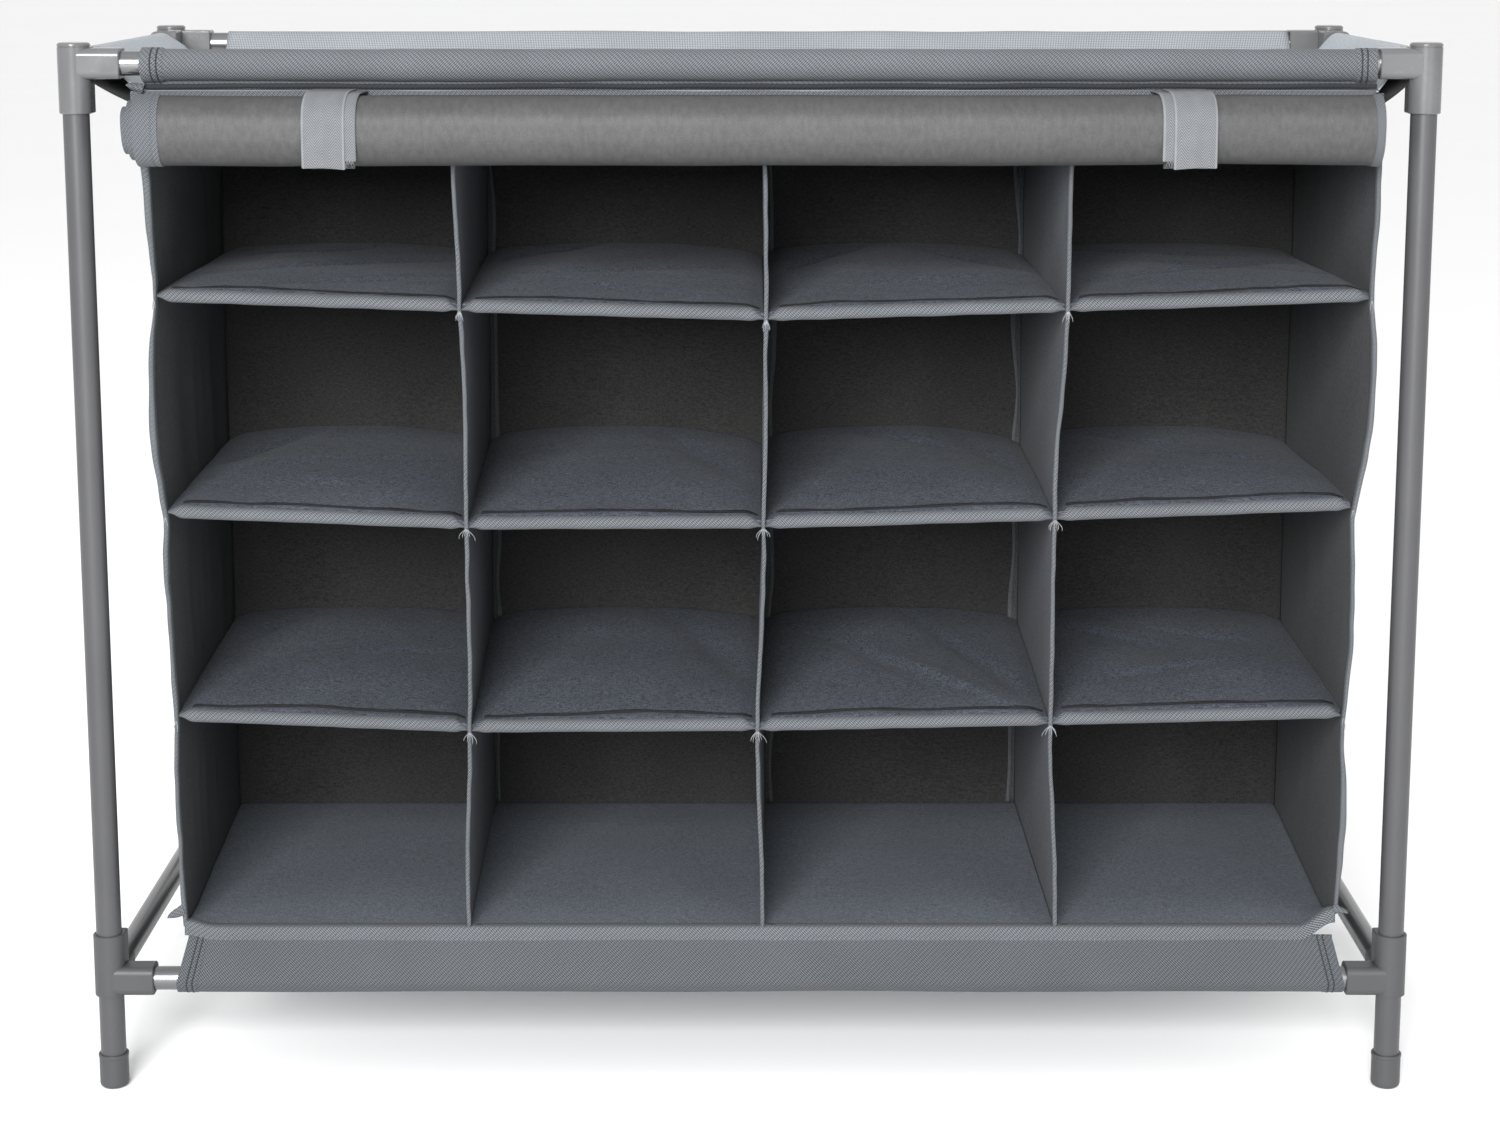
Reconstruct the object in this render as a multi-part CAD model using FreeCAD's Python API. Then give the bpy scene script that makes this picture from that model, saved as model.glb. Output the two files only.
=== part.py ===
import FreeCAD, Part
import math
import os
from FreeCAD import Vector

# Lengths are in millimetres. X is the width, Y runs from the front to the back and Z is up.
# Everything is drawn with the front posts at y = 0 and moved to the part's origin at the end.

# Frame of tubes
post_spacing_x = 878.0
post_spacing_y = 310.0
frame_height = 715.5
base_height = 67.0  # floor to the underside of the base connectors
post_diameter = 17.3
rail_diameter = 16.0
tube_wall = 0.7
fit_gap = 0.15  # play all round a tube in its socket

# Moulded connectors, one pattern used upright at the top and upside down at the base
connector_wall = 1.9
connector_length = 43.0
arm_reach = 31.0  # post axis to the arm's mouth
arm_inset = 0.5  # the arms lie this far inside the connector's end
arm_corner = 5.0
square_corner = 1.2
socket_floor = 1.5
stop_web = 2.0
mouth_chamfer = 0.6

# Caps
cap_thickness = 3.0
cap_groove = 0.6
cap_plug_length = 9.0
cap_plug_lead = 1.0
foot_wall = 1.1
foot_height = 24.0
foot_floor = 3.0
foot_round = 3.0
foot_lip = 0.35
foot_lip_height = 1.6
foot_lip_fall = 0.45  # slope above and below the lip

# Cloth cabinet
cabinet_side_gap = 36.0  # post axis to the cabinet's side
cabinet_rear_gap = 30.0  # rear post axis to the cabinet's back
roof_drop = 31.0  # top of the frame to the roof
floor_rise = 46.5  # underside of the base connectors to the cabinet's floor
cover_shift = 6.0  # the cloth sits this far right of the frame's middle
columns = 4
rows = 4
cloth = 1.5
divider_cloth = 2.4
seam_gap = 0.2

# Shelves and floor
shelf_thickness = 8.5
shelf_pinch = 10.0  # the pad thins down over this width at both ends
shelf_edge = 2.0
shelf_crown = 1.5
floor_thickness = 7.0
board_thickness = 3.0
board_play = 0.4
pocket_margin = 9.0

# Sleeves that hold the cabinet on the rails
sleeve_margin = 2.0  # the sleeves along the front and rear end this far inside the cabinet
sleeve_cloth = 0.9
sleeve_play = 0.3
sleeve_sag = 1.2
sleeve_end_clearance = 3.0
end_cut_margin = 20.0  # how far the tool that cuts the slanted ends reaches past the cloth
piping_diameter = 3.6

# Rolled-up front cover
roll_overhang = 2.0  # the roll passes the cabinet's sides by this much
roll_shift = 2.0
roll_drop = 1.5  # roof to the top of the roll
roll_cloth = 1.6
roll_core = 4.7
roll_pitch = 4.0
roll_half_turns = 9
roll_flat = 6.4  # straight stretch that makes the roll taller than deep
hang_gap = 0.4  # clearance between the roll, its straps and the cabinet
band_drop = 7.0

# Straps
strap_width = 28.0
strap_inset = 125.0  # cabinet's side to the middle of the strap
strap_cloth = 1.5
strap_hinge_clearance = 3.0
loop_strap_drop = 4.0

# Sizes that follow from those above
post_radius = post_diameter / 2
rail_radius = rail_diameter / 2
post_bore = post_radius + fit_gap
rail_bore = rail_radius + fit_gap
sleeve_radius = post_bore + connector_wall
arm_half = rail_bore + connector_wall
connector_top = frame_height - cap_thickness
top_rail_height = connector_top - arm_inset - arm_half
base_rail_height = base_height + arm_inset + arm_half
rail_inset = sleeve_radius + socket_floor
half_x = post_spacing_x / 2

cabinet_width = post_spacing_x - 2 * cabinet_side_gap
cabinet_depth = post_spacing_y - cabinet_rear_gap
roof_height = frame_height - roof_drop
floor_height = base_height + floor_rise
sleeve_length = cabinet_width - 2 * sleeve_margin
roll_length = cabinet_width + 2 * roll_overhang
strap_spacing = cabinet_width - 2 * strap_inset
cabinet_left = cover_shift - cabinet_width / 2
cabinet_right = cover_shift + cabinet_width / 2
roof_underside = roof_height - cloth
column_pitch = (cabinet_width - cloth) / columns
row_pitch = (roof_height - floor_height) / rows
divider_xs = [cabinet_left + cloth / 2 + column_pitch * i for i in range(1, columns)]
inner_depth = cabinet_depth - cloth

sleeve_ring = rail_radius + sleeve_play
sleeve_outer = sleeve_ring + sleeve_cloth

roll_step = roll_pitch / 2
front_winding = roll_core + roll_step * (roll_half_turns - 2)
rear_winding = roll_core + roll_step * (roll_half_turns - 1)
roll_y = -(2 * hang_gap + strap_cloth + rear_winding + roll_cloth / 2)
roll_top = roof_height - roll_drop
front_centre_z = roll_top - front_winding - roll_cloth / 2 - roll_flat / 2
rear_centre_z = front_centre_z + roll_step
roll_bottom = front_centre_z - front_winding - roll_cloth / 2 - roll_flat / 2
strap_inside = front_winding + roll_cloth / 2 + hang_gap
strap_front = roll_y - strap_inside - strap_cloth
strap_hinge_y = -(sleeve_outer + strap_hinge_clearance)
strap_hinge_z = roll_top + hang_gap + strap_cloth / 2

# The origin is on the floor, in the middle of the overall width and depth.
front_reach = min(strap_front, -sleeve_radius)
rear_reach = post_spacing_y + sleeve_radius
origin_y = (front_reach + rear_reach) / 2

nodes = {}


def add(name, *solids):
    """Keep one or more solids under a node name."""
    nodes[name] = list(solids)


def box(low, high):
    size = Vector(*high) - Vector(*low)
    return Part.makeBox(size.x, size.y, size.z, Vector(*low))


def tube(start, direction, length, radius):
    outer = Part.makeCylinder(radius, length, start, direction)
    inner = Part.makeCylinder(radius - tube_wall, length, start, direction)
    return outer.cut(inner)


def turned(profile):
    """Spin an outline of (radius, height) points about the upright axis."""
    points = [Vector(radius, 0, height) for radius, height in profile]
    face = Part.Face(Part.makePolygon(points + points[:1]))
    return face.revolve(Vector(0, 0, 0), Vector(0, 0, 1), 360)


def rounded_face(half, corners, place):
    """A square section with its own radius at each corner, laid in a plane by place(u, v)."""
    ways = [(1, 1), (-1, 1), (-1, -1), (1, -1)]
    edges = []
    ends = []
    for (across, up), radius in zip(ways, corners):
        middle = (across * (half - radius), up * (half - radius))
        side = (across * half, middle[1])
        flat = (middle[0], up * half)
        diagonal = radius * math.sqrt(0.5)
        bulge = (middle[0] + across * diagonal, middle[1] + up * diagonal)
        first, last = (side, flat) if across * up > 0 else (flat, side)
        edges.append(Part.Arc(place(*first), place(*bulge), place(*last)).toShape())
        ends.append((place(*first), place(*last)))
    for index, (start, end) in enumerate(ends):
        following = ends[(index + 1) % 4][0]
        if (following - end).Length > 1e-6:
            edges.append(Part.makeLine(end, following))
    return Part.Face(Part.Wire(Part.__sortEdges__(edges)))


def chamfered_mouth(solid, normal, distance):
    """Break the outer edges of the end face that looks along normal."""
    def at_mouth(edge):
        return all(abs(v.Point.dot(normal) - distance) < 1e-4 for v in edge.Vertexes)
    edges = [edge for edge in solid.Edges if at_mouth(edge)]
    return solid.makeChamfer(mouth_chamfer, edges)


def connector(is_base):
    """A corner connector with its end face at z = 0, its arms along +X and +Y and its sleeve below."""
    down = Vector(0, 0, -connector_length)
    sleeve_corners = [square_corner, sleeve_radius, sleeve_radius, sleeve_radius]
    sleeve = rounded_face(sleeve_radius, sleeve_corners, lambda u, v: Vector(u, v, 0))
    sleeve = chamfered_mouth(sleeve.extrude(down), Vector(0, 0, -1), connector_length)

    axis_z = -(arm_inset + arm_half)
    corners = [square_corner, arm_corner, arm_corner, arm_corner]
    arm_x = rounded_face(arm_half, corners, lambda u, v: Vector(0, u, axis_z + v))
    arm_x = chamfered_mouth(arm_x.extrude(Vector(arm_reach, 0, 0)), Vector(1, 0, 0), arm_reach)
    arm_y = rounded_face(arm_half, corners, lambda u, v: Vector(u, 0, axis_z + v))
    arm_y = chamfered_mouth(arm_y.extrude(Vector(0, arm_reach, 0)), Vector(0, 1, 0), arm_reach)
    body = sleeve.fuse([arm_x, arm_y])

    depth = arm_reach - rail_inset
    socket_x = Part.makeCylinder(rail_bore, depth, Vector(rail_inset, 0, axis_z), Vector(1, 0, 0))
    socket_y = Part.makeCylinder(rail_bore, depth, Vector(0, rail_inset, axis_z), Vector(0, 1, 0))
    bore = Part.makeCylinder(post_bore, connector_length, down)
    if is_base:
        web_z = -(connector_length + stop_web) / 2
        bore = bore.cut(Part.makeCylinder(post_bore, stop_web, Vector(0, 0, web_z)))
    return body.cut([socket_x, socket_y, bore]).removeSplitter()


def top_cap():
    """A domed cap that covers the connector's end, with a plug that goes down the post."""
    rim = sleeve_radius
    plug = post_radius - tube_wall - fit_gap
    neck = rim - cap_groove
    crown = cap_thickness - cap_groove
    profile = [(0, -cap_plug_length), (plug - cap_plug_lead, -cap_plug_length)]
    profile.append((plug, cap_plug_lead - cap_plug_length))
    profile += [(plug, 0), (neck, 0), (neck, cap_groove), (rim, cap_groove)]
    for step in range(4):
        angle = math.radians(step * 30)
        fall = crown - cap_groove
        profile.append((rim - fall * (1 - math.cos(angle)), cap_groove * 2 + fall * math.sin(angle)))
    profile.append((0, cap_thickness))
    return turned(profile)


def foot_cap():
    """A cup that takes the leg's end, rounded at the bottom edge and with a lip round its mouth."""
    outside = post_bore + foot_wall
    profile = [(0, 0)]
    for step in range(4):
        angle = math.radians(step * 30)
        out = outside - foot_round * (1 - math.sin(angle))
        profile.append((out, foot_round * (1 - math.cos(angle))))
    lip = outside + foot_lip
    lip_top = foot_height - foot_lip_fall
    lip_bottom = lip_top - foot_lip_height
    profile += [(outside, lip_bottom - foot_lip_fall), (lip, lip_bottom), (lip, lip_top)]
    profile += [(outside, foot_height), (post_bore, foot_height), (post_bore, foot_floor)]
    profile.append((0, foot_floor))
    return turned(profile)


def standing(shape, side, back, height):
    """Place a piece drawn for the front left corner at another corner of the frame."""
    placed = shape.copy()
    if side > 0:
        placed = placed.mirror(Vector(0, 0, 0), Vector(1, 0, 0))
    if back:
        placed = placed.mirror(Vector(0, 0, 0), Vector(0, 1, 0))
    placed.translate(Vector(side * half_x, post_spacing_y if back else 0, height))
    return placed


def build_corners():
    top = connector(False)
    base = connector(True).mirror(Vector(0, 0, 0), Vector(0, 0, 1))
    web_low = base_height + (connector_length - stop_web) / 2
    web_high = web_low + stop_web
    post = tube(Vector(0, 0, 0), Vector(0, 0, 1), connector_top - web_high, post_radius)
    leg = tube(Vector(0, 0, 0), Vector(0, 0, 1), web_low - foot_floor, post_radius)
    for side, side_name in ((-1, "left"), (1, "right")):
        for back, end_name in ((False, "front"), (True, "rear")):
            corner = end_name + "_" + side_name
            add("post_" + corner, standing(post, side, back, web_high))
            add("leg_" + corner, standing(leg, side, back, foot_floor))
            add("foot_cap_" + corner, standing(foot_cap(), side, back, 0))
            add("top_connector_" + corner, standing(top, side, back, connector_top))
            add("base_connector_" + corner, standing(base, side, back, base_height))
            add("connector_cap_" + corner, standing(top_cap(), side, back, connector_top))


def build_rails():
    length_x = post_spacing_x - 2 * rail_inset
    length_y = post_spacing_y - 2 * rail_inset
    for level, height in (("top", top_rail_height), ("base", base_rail_height)):
        for name, y in (("front", 0), ("rear", post_spacing_y)):
            start = Vector(-length_x / 2, y, height)
            add(level + "_rail_" + name, tube(start, Vector(1, 0, 0), length_x, rail_radius))
        for name, side in (("left", -1), ("right", 1)):
            start = Vector(side * half_x, rail_inset, height)
            add(level + "_rail_" + name, tube(start, Vector(0, 1, 0), length_y, rail_radius))


def hemmed_panel(x, thickness, bottom, top, depth):
    """An upright cloth wall whose front edge is rolled into a round hem."""
    wall = box((x - thickness / 2, thickness / 2, bottom), (x + thickness / 2, depth, top))
    hem = Part.makeCylinder(thickness / 2, top - bottom, Vector(x, thickness / 2, bottom))
    return wall.fuse(hem).removeSplitter()


def build_walls():
    floor_underside = floor_height - floor_thickness
    side_bottom = floor_underside - cloth
    left = cabinet_left + cloth / 2
    right = cabinet_right - cloth / 2
    wall_top = roof_underside
    add("side_panel_left", hemmed_panel(left, cloth, side_bottom, wall_top, cabinet_depth))
    add("side_panel_right", hemmed_panel(right, cloth, side_bottom, wall_top, cabinet_depth))
    low = (cabinet_left + cloth, inner_depth, side_bottom)
    high = (cabinet_right - cloth, cabinet_depth, roof_underside)
    add("back_panel", box(low, high))
    low = (cabinet_left, 0, roof_underside)
    high = (cabinet_right, cabinet_depth, roof_height)
    add("roof_panel", box(low, high))
    for name, x in zip(("left", "centre", "right"), divider_xs):
        panel = hemmed_panel(x, divider_cloth, floor_height, roof_underside, inner_depth)
        add("divider_" + name, panel)


def cells():
    """The clear span in X of each column of compartments."""
    starts = [cabinet_left + cloth] + [x + divider_cloth / 2 for x in divider_xs]
    ends = [x - divider_cloth / 2 for x in divider_xs] + [cabinet_right - cloth]
    return list(zip(starts, ends))


def shelf_pad(left, right, middle):
    """A quilted shelf: pinched at both ends, crowned from front to back, open behind for its board."""
    half = shelf_thickness / 2
    thin = shelf_edge / 2
    outline = [(left, -thin), (left + shelf_pinch, -half), (right - shelf_pinch, -half)]
    outline += [(right, -thin), (right, thin), (right - shelf_pinch, half)]
    outline += [(left + shelf_pinch, half), (left, thin)]
    points = [Vector(x, 0, middle + z) for x, z in outline]
    across = Part.Face(Part.makePolygon(points + points[:1])).extrude(Vector(0, inner_depth, 0))

    back = inner_depth - seam_gap
    nose = Part.Arc(
        Vector(left, half, middle - half),
        Vector(left, 0, middle),
        Vector(left, half, middle + half - shelf_crown),
    )
    crown = Part.Arc(
        Vector(left, half, middle + half - shelf_crown),
        Vector(left, back / 2, middle + half),
        Vector(left, back, middle + half - shelf_crown),
    )
    corners = [Vector(left, back, middle + half - shelf_crown), Vector(left, back, middle - half)]
    corners.append(Vector(left, half, middle - half))
    edges = [nose.toShape(), crown.toShape()]
    edges += [Part.makeLine(corners[0], corners[1]), Part.makeLine(corners[1], corners[2])]
    along = Part.Face(Part.Wire(edges)).extrude(Vector(right - left, 0, 0))
    pad = across.common(along)
    return pad.cut(pocket(left, right, middle, back + 1))


def pocket(left, right, middle, back):
    margin = shelf_pinch + pocket_margin
    half = board_thickness / 2 + board_play
    return box((left + margin, pocket_margin, middle - half), (right - margin, back, middle + half))


def stiffener(left, right, middle):
    """The board that lies in a pocket with a little play all round."""
    margin = shelf_pinch + pocket_margin + board_play
    front = pocket_margin + board_play
    back = inner_depth - seam_gap - board_play
    half = board_thickness / 2
    return box((left + margin, front, middle - half), (right - margin, back, middle + half))


def build_shelves():
    for row in range(1, rows):
        middle = roof_height - row_pitch * row
        spans = [(a + seam_gap, b - seam_gap) for a, b in cells()]
        add("shelf_covers_row_" + str(row), *[shelf_pad(a, b, middle) for a, b in spans])
        add("shelf_boards_row_" + str(row), *[stiffener(a, b, middle) for a, b in spans])

    middle = floor_height - floor_thickness / 2
    half = floor_thickness / 2
    back = inner_depth - seam_gap
    left = cabinet_left + cloth + seam_gap
    right = cabinet_right - cloth - seam_gap
    slab = box((left, half, middle - half), (right, back, middle + half))
    hem = Part.makeCylinder(half, right - left, Vector(left, half, middle), Vector(1, 0, 0))
    pockets = [pocket(a, b, middle, back + 1) for a, b in cells()]
    add("floor_panel", slab.fuse(hem).removeSplitter().cut(pockets))
    add("floor_boards", *[stiffener(a, b, middle) for a, b in cells()])


def web_points(edge, centre, over):
    """The cloth that leaves a rail sleeve at a tangent and ends at the cabinet's edge.

    Points are (outward, up). over is 1 where the cloth passes over the rail and -1 where it passes
    outside it from below.
    """
    span = (centre[0] - edge[0], centre[1] - edge[1])
    distance = math.hypot(*span)
    angle = math.atan2(span[1], span[0]) + over * math.asin(sleeve_outer / distance)
    reach = math.sqrt(distance ** 2 - sleeve_outer ** 2)
    way = (math.cos(angle), math.sin(angle))
    inward = (over * way[1] * sleeve_cloth, -over * way[0] * sleeve_cloth)
    touch = (edge[0] + way[0] * reach, edge[1] + way[1] * reach)
    return [
        edge,
        touch,
        (touch[0] + inward[0], touch[1] + inward[1]),
        (edge[0] + inward[0], edge[1] + inward[1]),
    ]


def rail_sleeve(edge, centre, over, place, run):
    """A cloth tube round a rail with its web to the cabinet; place(out, up) lays the section."""
    points = [place(*point) for point in web_points(edge, centre, over)]
    web = Part.Face(Part.makePolygon(points + points[:1])).extrude(run)
    middle = place(*centre)
    ring = Part.makeCylinder(sleeve_outer, run.Length, middle, run)
    hole = Part.makeCylinder(sleeve_ring, run.Length, middle, run)
    return web.fuse(ring).cut(hole).removeSplitter()


def front_top_sleeve(left, run):
    """An oval cloth tube that hangs a little below the rail, with a skirt and a piped seam."""
    top = top_rail_height + sleeve_outer
    low_half = sleeve_outer + sleeve_sag
    centre = Vector(left, 0, top - low_half)
    faces = []
    for shrink in (0, sleeve_cloth):
        tall = centre + Vector(0, 0, low_half - shrink)
        wide = centre + Vector(0, sleeve_outer - shrink, 0)
        faces.append(Part.Face(Part.Wire(Part.Ellipse(tall, wide, centre).toShape())))
    outside, inside = [face.extrude(run) for face in faces]
    skirt_top = top - 2 * low_half + sleeve_cloth
    skirt = box((left, 0, roof_height), (left + run.x, cloth, skirt_top))
    piping_z = roof_height + piping_diameter / 2
    piping_y = cloth - piping_diameter / 2
    piping = Part.makeCylinder(piping_diameter / 2, run.x, Vector(left, piping_y, piping_z), run)
    return outside.fuse([skirt, piping]).cut(inside).removeSplitter()


def build_sleeves():
    left = cover_shift - sleeve_length / 2
    run_x = Vector(sleeve_length, 0, 0)
    add("top_sleeve_front", front_top_sleeve(left, run_x))

    edge = (cabinet_depth + seam_gap, roof_height)
    centre = (post_spacing_y, top_rail_height)
    place = lambda out, up: Vector(left, out, up)
    add("top_sleeve_rear", rail_sleeve(edge, centre, 1, place, run_x))

    end = arm_reach + sleeve_end_clearance
    run_y = Vector(0, cabinet_depth, 0)
    for name, side, edge_x in (("left", -1, -cabinet_left), ("right", 1, cabinet_right)):
        place = lambda out, up, side=side: Vector(side * out, 0, up)
        edge = (edge_x + seam_gap, roof_height)
        sleeve = rail_sleeve(edge, (half_x, top_rail_height), 1, place, run_y)
        for y, way in ((0, 1), (cabinet_depth, -1)):
            rail_y = end if way > 0 else post_spacing_y - end
            far_x = half_x + end_cut_margin
            far_y = y - way * end_cut_margin
            corners = [(edge_x, y), (half_x - sleeve_outer, rail_y), (far_x, rail_y)]
            corners += [(far_x, far_y), (edge_x, far_y)]
            low = roof_height - end_cut_margin
            points = [Vector(side * x, at, low) for x, at in corners]
            up = Vector(0, 0, frame_height + end_cut_margin - low)
            wedge = Part.Face(Part.makePolygon(points + points[:1])).extrude(up)
            sleeve = sleeve.cut(wedge)
        add("top_sleeve_" + name, sleeve)

    # At the base the cloth comes down outside the rail and passes under it.
    hem_z = floor_height - floor_thickness
    place = lambda out, up: Vector(left, -out, up)
    edge = (seam_gap, hem_z)
    add("base_sleeve_front", rail_sleeve(edge, (0, base_rail_height), -1, place, run_x))
    place = lambda out, up: Vector(left, out, up)
    edge = (cabinet_depth + seam_gap + sleeve_cloth, hem_z)
    centre = (post_spacing_y, base_rail_height)
    add("base_sleeve_rear", rail_sleeve(edge, centre, 1, place, run_x))


def winding(offset):
    """Edges of one face of the rolled cloth, from the core to the tail behind the roll.

    Rear and front half turns have centres one step apart, so each half turn is one step wider.
    """
    edges = []
    half_flat = roll_flat / 2
    for turn in range(roll_half_turns):
        rear = turn % 2 == 0
        way = 1 if rear else -1
        middle = rear_centre_z if rear else front_centre_z
        radius = roll_core + roll_step * turn + offset
        diagonal = radius * math.sqrt(0.5)
        last = turn == roll_half_turns - 1
        # Rear half turns climb from the bottom to the top, front ones come back down.
        for climb in (-way, way):
            centre_z = middle + climb * half_flat
            tip = Vector(0, roll_y, centre_z + climb * radius)
            bulge = Vector(0, roll_y + way * diagonal, centre_z + climb * diagonal)
            side = Vector(0, roll_y + way * radius, centre_z)
            opening = climb == -way
            if opening:
                edges.append(Part.Arc(tip, bulge, side).toShape())
                far_z = roof_height - band_drop - hang_gap if last else middle + way * half_flat
                edges.append(Part.makeLine(side, Vector(0, side.y, far_z)))
            elif not last:
                edges.append(Part.Arc(side, bulge, tip).toShape())
    return edges


def build_cover():
    inner = winding(-roll_cloth / 2)
    outer = winding(roll_cloth / 2)
    start = Part.makeLine(inner[0].Vertexes[0].Point, outer[0].Vertexes[0].Point)
    end = Part.makeLine(inner[-1].Vertexes[-1].Point, outer[-1].Vertexes[-1].Point)
    outline = Part.Wire(Part.__sortEdges__(inner + outer + [start, end]))
    roll = Part.Face(outline).extrude(Vector(roll_length, 0, 0))
    roll.translate(Vector(roll_shift - roll_length / 2, 0, 0))
    add("front_cover", roll)

    low = (roll_shift - roll_length / 2, -seam_gap - roll_cloth, roof_height - band_drop)
    high = (roll_shift + roll_length / 2, -seam_gap, roof_height)
    add("cover_top_band", box(low, high))


def hook_strap(x):
    """Webbing that lies over the top of the roll and down its front to the bottom edge."""
    top_z = roll_top - front_winding - roll_cloth / 2
    inside = strap_inside
    outside = strap_inside + strap_cloth

    def quarter(radius):
        side = Vector(x, roll_y - radius, top_z)
        diagonal = radius * math.sqrt(0.5)
        bulge = Vector(x, roll_y - diagonal, top_z + diagonal)
        return Part.Arc(Vector(x, roll_y, top_z + radius), bulge, side).toShape()

    corners = [
        Vector(x, roll_y - outside, top_z),
        Vector(x, roll_y - outside, roll_bottom),
        Vector(x, roll_y - inside, roll_bottom),
        Vector(x, roll_y - inside, top_z),
    ]
    edges = [quarter(inside), quarter(outside)]
    edges += [Part.makeLine(a, b) for a, b in zip(corners, corners[1:])]
    ends = [
        Vector(x, roll_y, top_z + inside),
        Vector(x, strap_hinge_y, top_z + inside),
        Vector(x, strap_hinge_y, top_z + outside),
        Vector(x, roll_y, top_z + outside),
    ]
    edges += [Part.makeLine(a, b) for a, b in zip(ends, ends[1:])]
    profile = Part.Face(Part.Wire(Part.__sortEdges__(edges)))
    return profile.extrude(Vector(strap_width, 0, 0))


def build_straps():
    for name, side in (("left", -1), ("right", 1)):
        x = cover_shift + side * strap_spacing / 2 - strap_width / 2
        add("hook_strap_" + name, hook_strap(x))
        low = (x, -hang_gap - strap_cloth, roll_bottom - loop_strap_drop)
        high = (x + strap_width, -hang_gap, roof_height - band_drop - hang_gap)
        add("loop_strap_" + name, box(low, high))


def main():
    build_corners()
    build_rails()
    build_walls()
    build_shelves()
    build_sleeves()
    build_cover()
    build_straps()
    os.makedirs("parts", exist_ok=True)
    for name, solids in nodes.items():
        shape = solids[0] if len(solids) == 1 else Part.makeCompound(solids)
        shape.translate(Vector(0, -origin_y, 0))
        shape.exportStep("parts/" + name + ".step")


main()
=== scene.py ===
import bisect
import math
import random

import bmesh
import bpy
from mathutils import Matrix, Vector, noise


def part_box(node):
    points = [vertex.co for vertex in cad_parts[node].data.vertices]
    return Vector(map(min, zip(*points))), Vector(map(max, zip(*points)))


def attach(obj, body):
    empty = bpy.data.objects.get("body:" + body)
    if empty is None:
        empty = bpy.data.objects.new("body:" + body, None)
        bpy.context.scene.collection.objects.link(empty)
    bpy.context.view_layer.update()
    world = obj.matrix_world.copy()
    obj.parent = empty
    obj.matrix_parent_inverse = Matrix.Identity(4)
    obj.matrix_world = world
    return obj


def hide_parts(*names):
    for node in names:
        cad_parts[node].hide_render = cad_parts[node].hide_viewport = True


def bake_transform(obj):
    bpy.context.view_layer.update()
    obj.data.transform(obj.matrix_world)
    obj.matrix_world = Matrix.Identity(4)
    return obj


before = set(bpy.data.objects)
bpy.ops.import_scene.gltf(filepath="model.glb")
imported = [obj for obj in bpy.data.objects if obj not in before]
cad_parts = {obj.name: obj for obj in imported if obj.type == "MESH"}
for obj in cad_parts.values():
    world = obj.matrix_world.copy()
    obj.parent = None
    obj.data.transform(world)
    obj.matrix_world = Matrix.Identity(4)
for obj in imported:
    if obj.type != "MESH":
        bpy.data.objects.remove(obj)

random.seed(7)
scene = bpy.context.scene
bpy.context.view_layer.update()
print("frame loaded:", len(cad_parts), "nodes")

# Lengths are in metres. X is the width, Y runs from the front to the back, Z is up.

rowNames = ["1", "2", "3"]
wallNodes = ["side_panel_left", "divider_left", "divider_centre", "divider_right", "side_panel_right"]
columnCount = 4


def middleOf(node):
    low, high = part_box(node)
    return (low + high) / 2


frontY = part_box("side_panel_left")[0].y
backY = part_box("back_panel")[0].y
depth = backY - frontY
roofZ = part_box("roof_panel")[1].z
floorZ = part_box("floor_panel")[1].z
rowZ = [middleOf("shelf_covers_row_" + name).z for name in rowNames]
topRailZ = middleOf("top_rail_front").z
baseRailZ = middleOf("base_rail_front").z
rearRailY = middleOf("top_rail_rear").y
sideRailX = middleOf("top_rail_right").x
railRadius = (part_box("top_rail_front")[1].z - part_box("top_rail_front")[0].z) / 2


# small helpers for meshes

def clamp(value, low=0.0, high=1.0):
    return max(low, min(high, value))


def smooth(value):
    value = clamp(value)
    return value * value * (3 - 2 * value)


def mix(first, second, share):
    return first + (second - first) * share


def table(values, place):
    # reads a row of values at a place between them, easing from one to the next
    place = clamp(place, 0, len(values) - 1)
    index = min(int(place), len(values) - 2)
    return mix(values[index], values[index + 1], smooth(place - index))


def crowded(share, width, zone, part):
    # sends this part of the columns into a zone at each end
    if share < part:
        return share / part * zone
    if share > 1 - part:
        return width - (1 - share) / part * zone
    return mix(zone, width - zone, (share - part) / (1 - 2 * part))


def clothGrid(width, length, across, along, zone=0.0, part=0.15):
    # a flat cut of cloth with its own map in metres
    bm = bmesh.new()
    layer = bm.loops.layers.uv.new("UVMap")
    bmesh.ops.create_grid(bm, x_segments=across, y_segments=along, size=0.5)
    for vert in bm.verts:
        share = vert.co.x + 0.5
        x = crowded(share, width, zone, part) if zone else share * width
        vert.co = (x, (vert.co.y + 0.5) * length, 0)
    for face in bm.faces:
        for loop in face.loops:
            loop[layer].uv = loop.vert.co.xy
    return bm


def lay(bm, place):
    # moves each point of a flat cut to where place(across, along) says
    for vert in bm.verts:
        vert.co = place(vert.co.x, vert.co.y)


def cutBlock(cuts):
    # a unit block cut into a grid on every side
    bm = bmesh.new()
    bmesh.ops.create_cube(bm, size=1)
    for axis, count in enumerate(cuts):
        edges = [e for e in bm.edges if abs((e.verts[0].co - e.verts[1].co)[axis]) > 1e-6]
        if count:
            bmesh.ops.subdivide_edges(bm, edges=edges, cuts=count, use_grid_fill=True)
    return bm


def arcPoints(centre, radius, start, end, count):
    # points round an arc; angles in degrees from the first axis
    points = []
    for step in range(count + 1):
        angle = math.radians(mix(start, end, step / count))
        points.append(Vector((centre[0] + radius * math.cos(angle), centre[1] + radius * math.sin(angle))))
    return points


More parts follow.
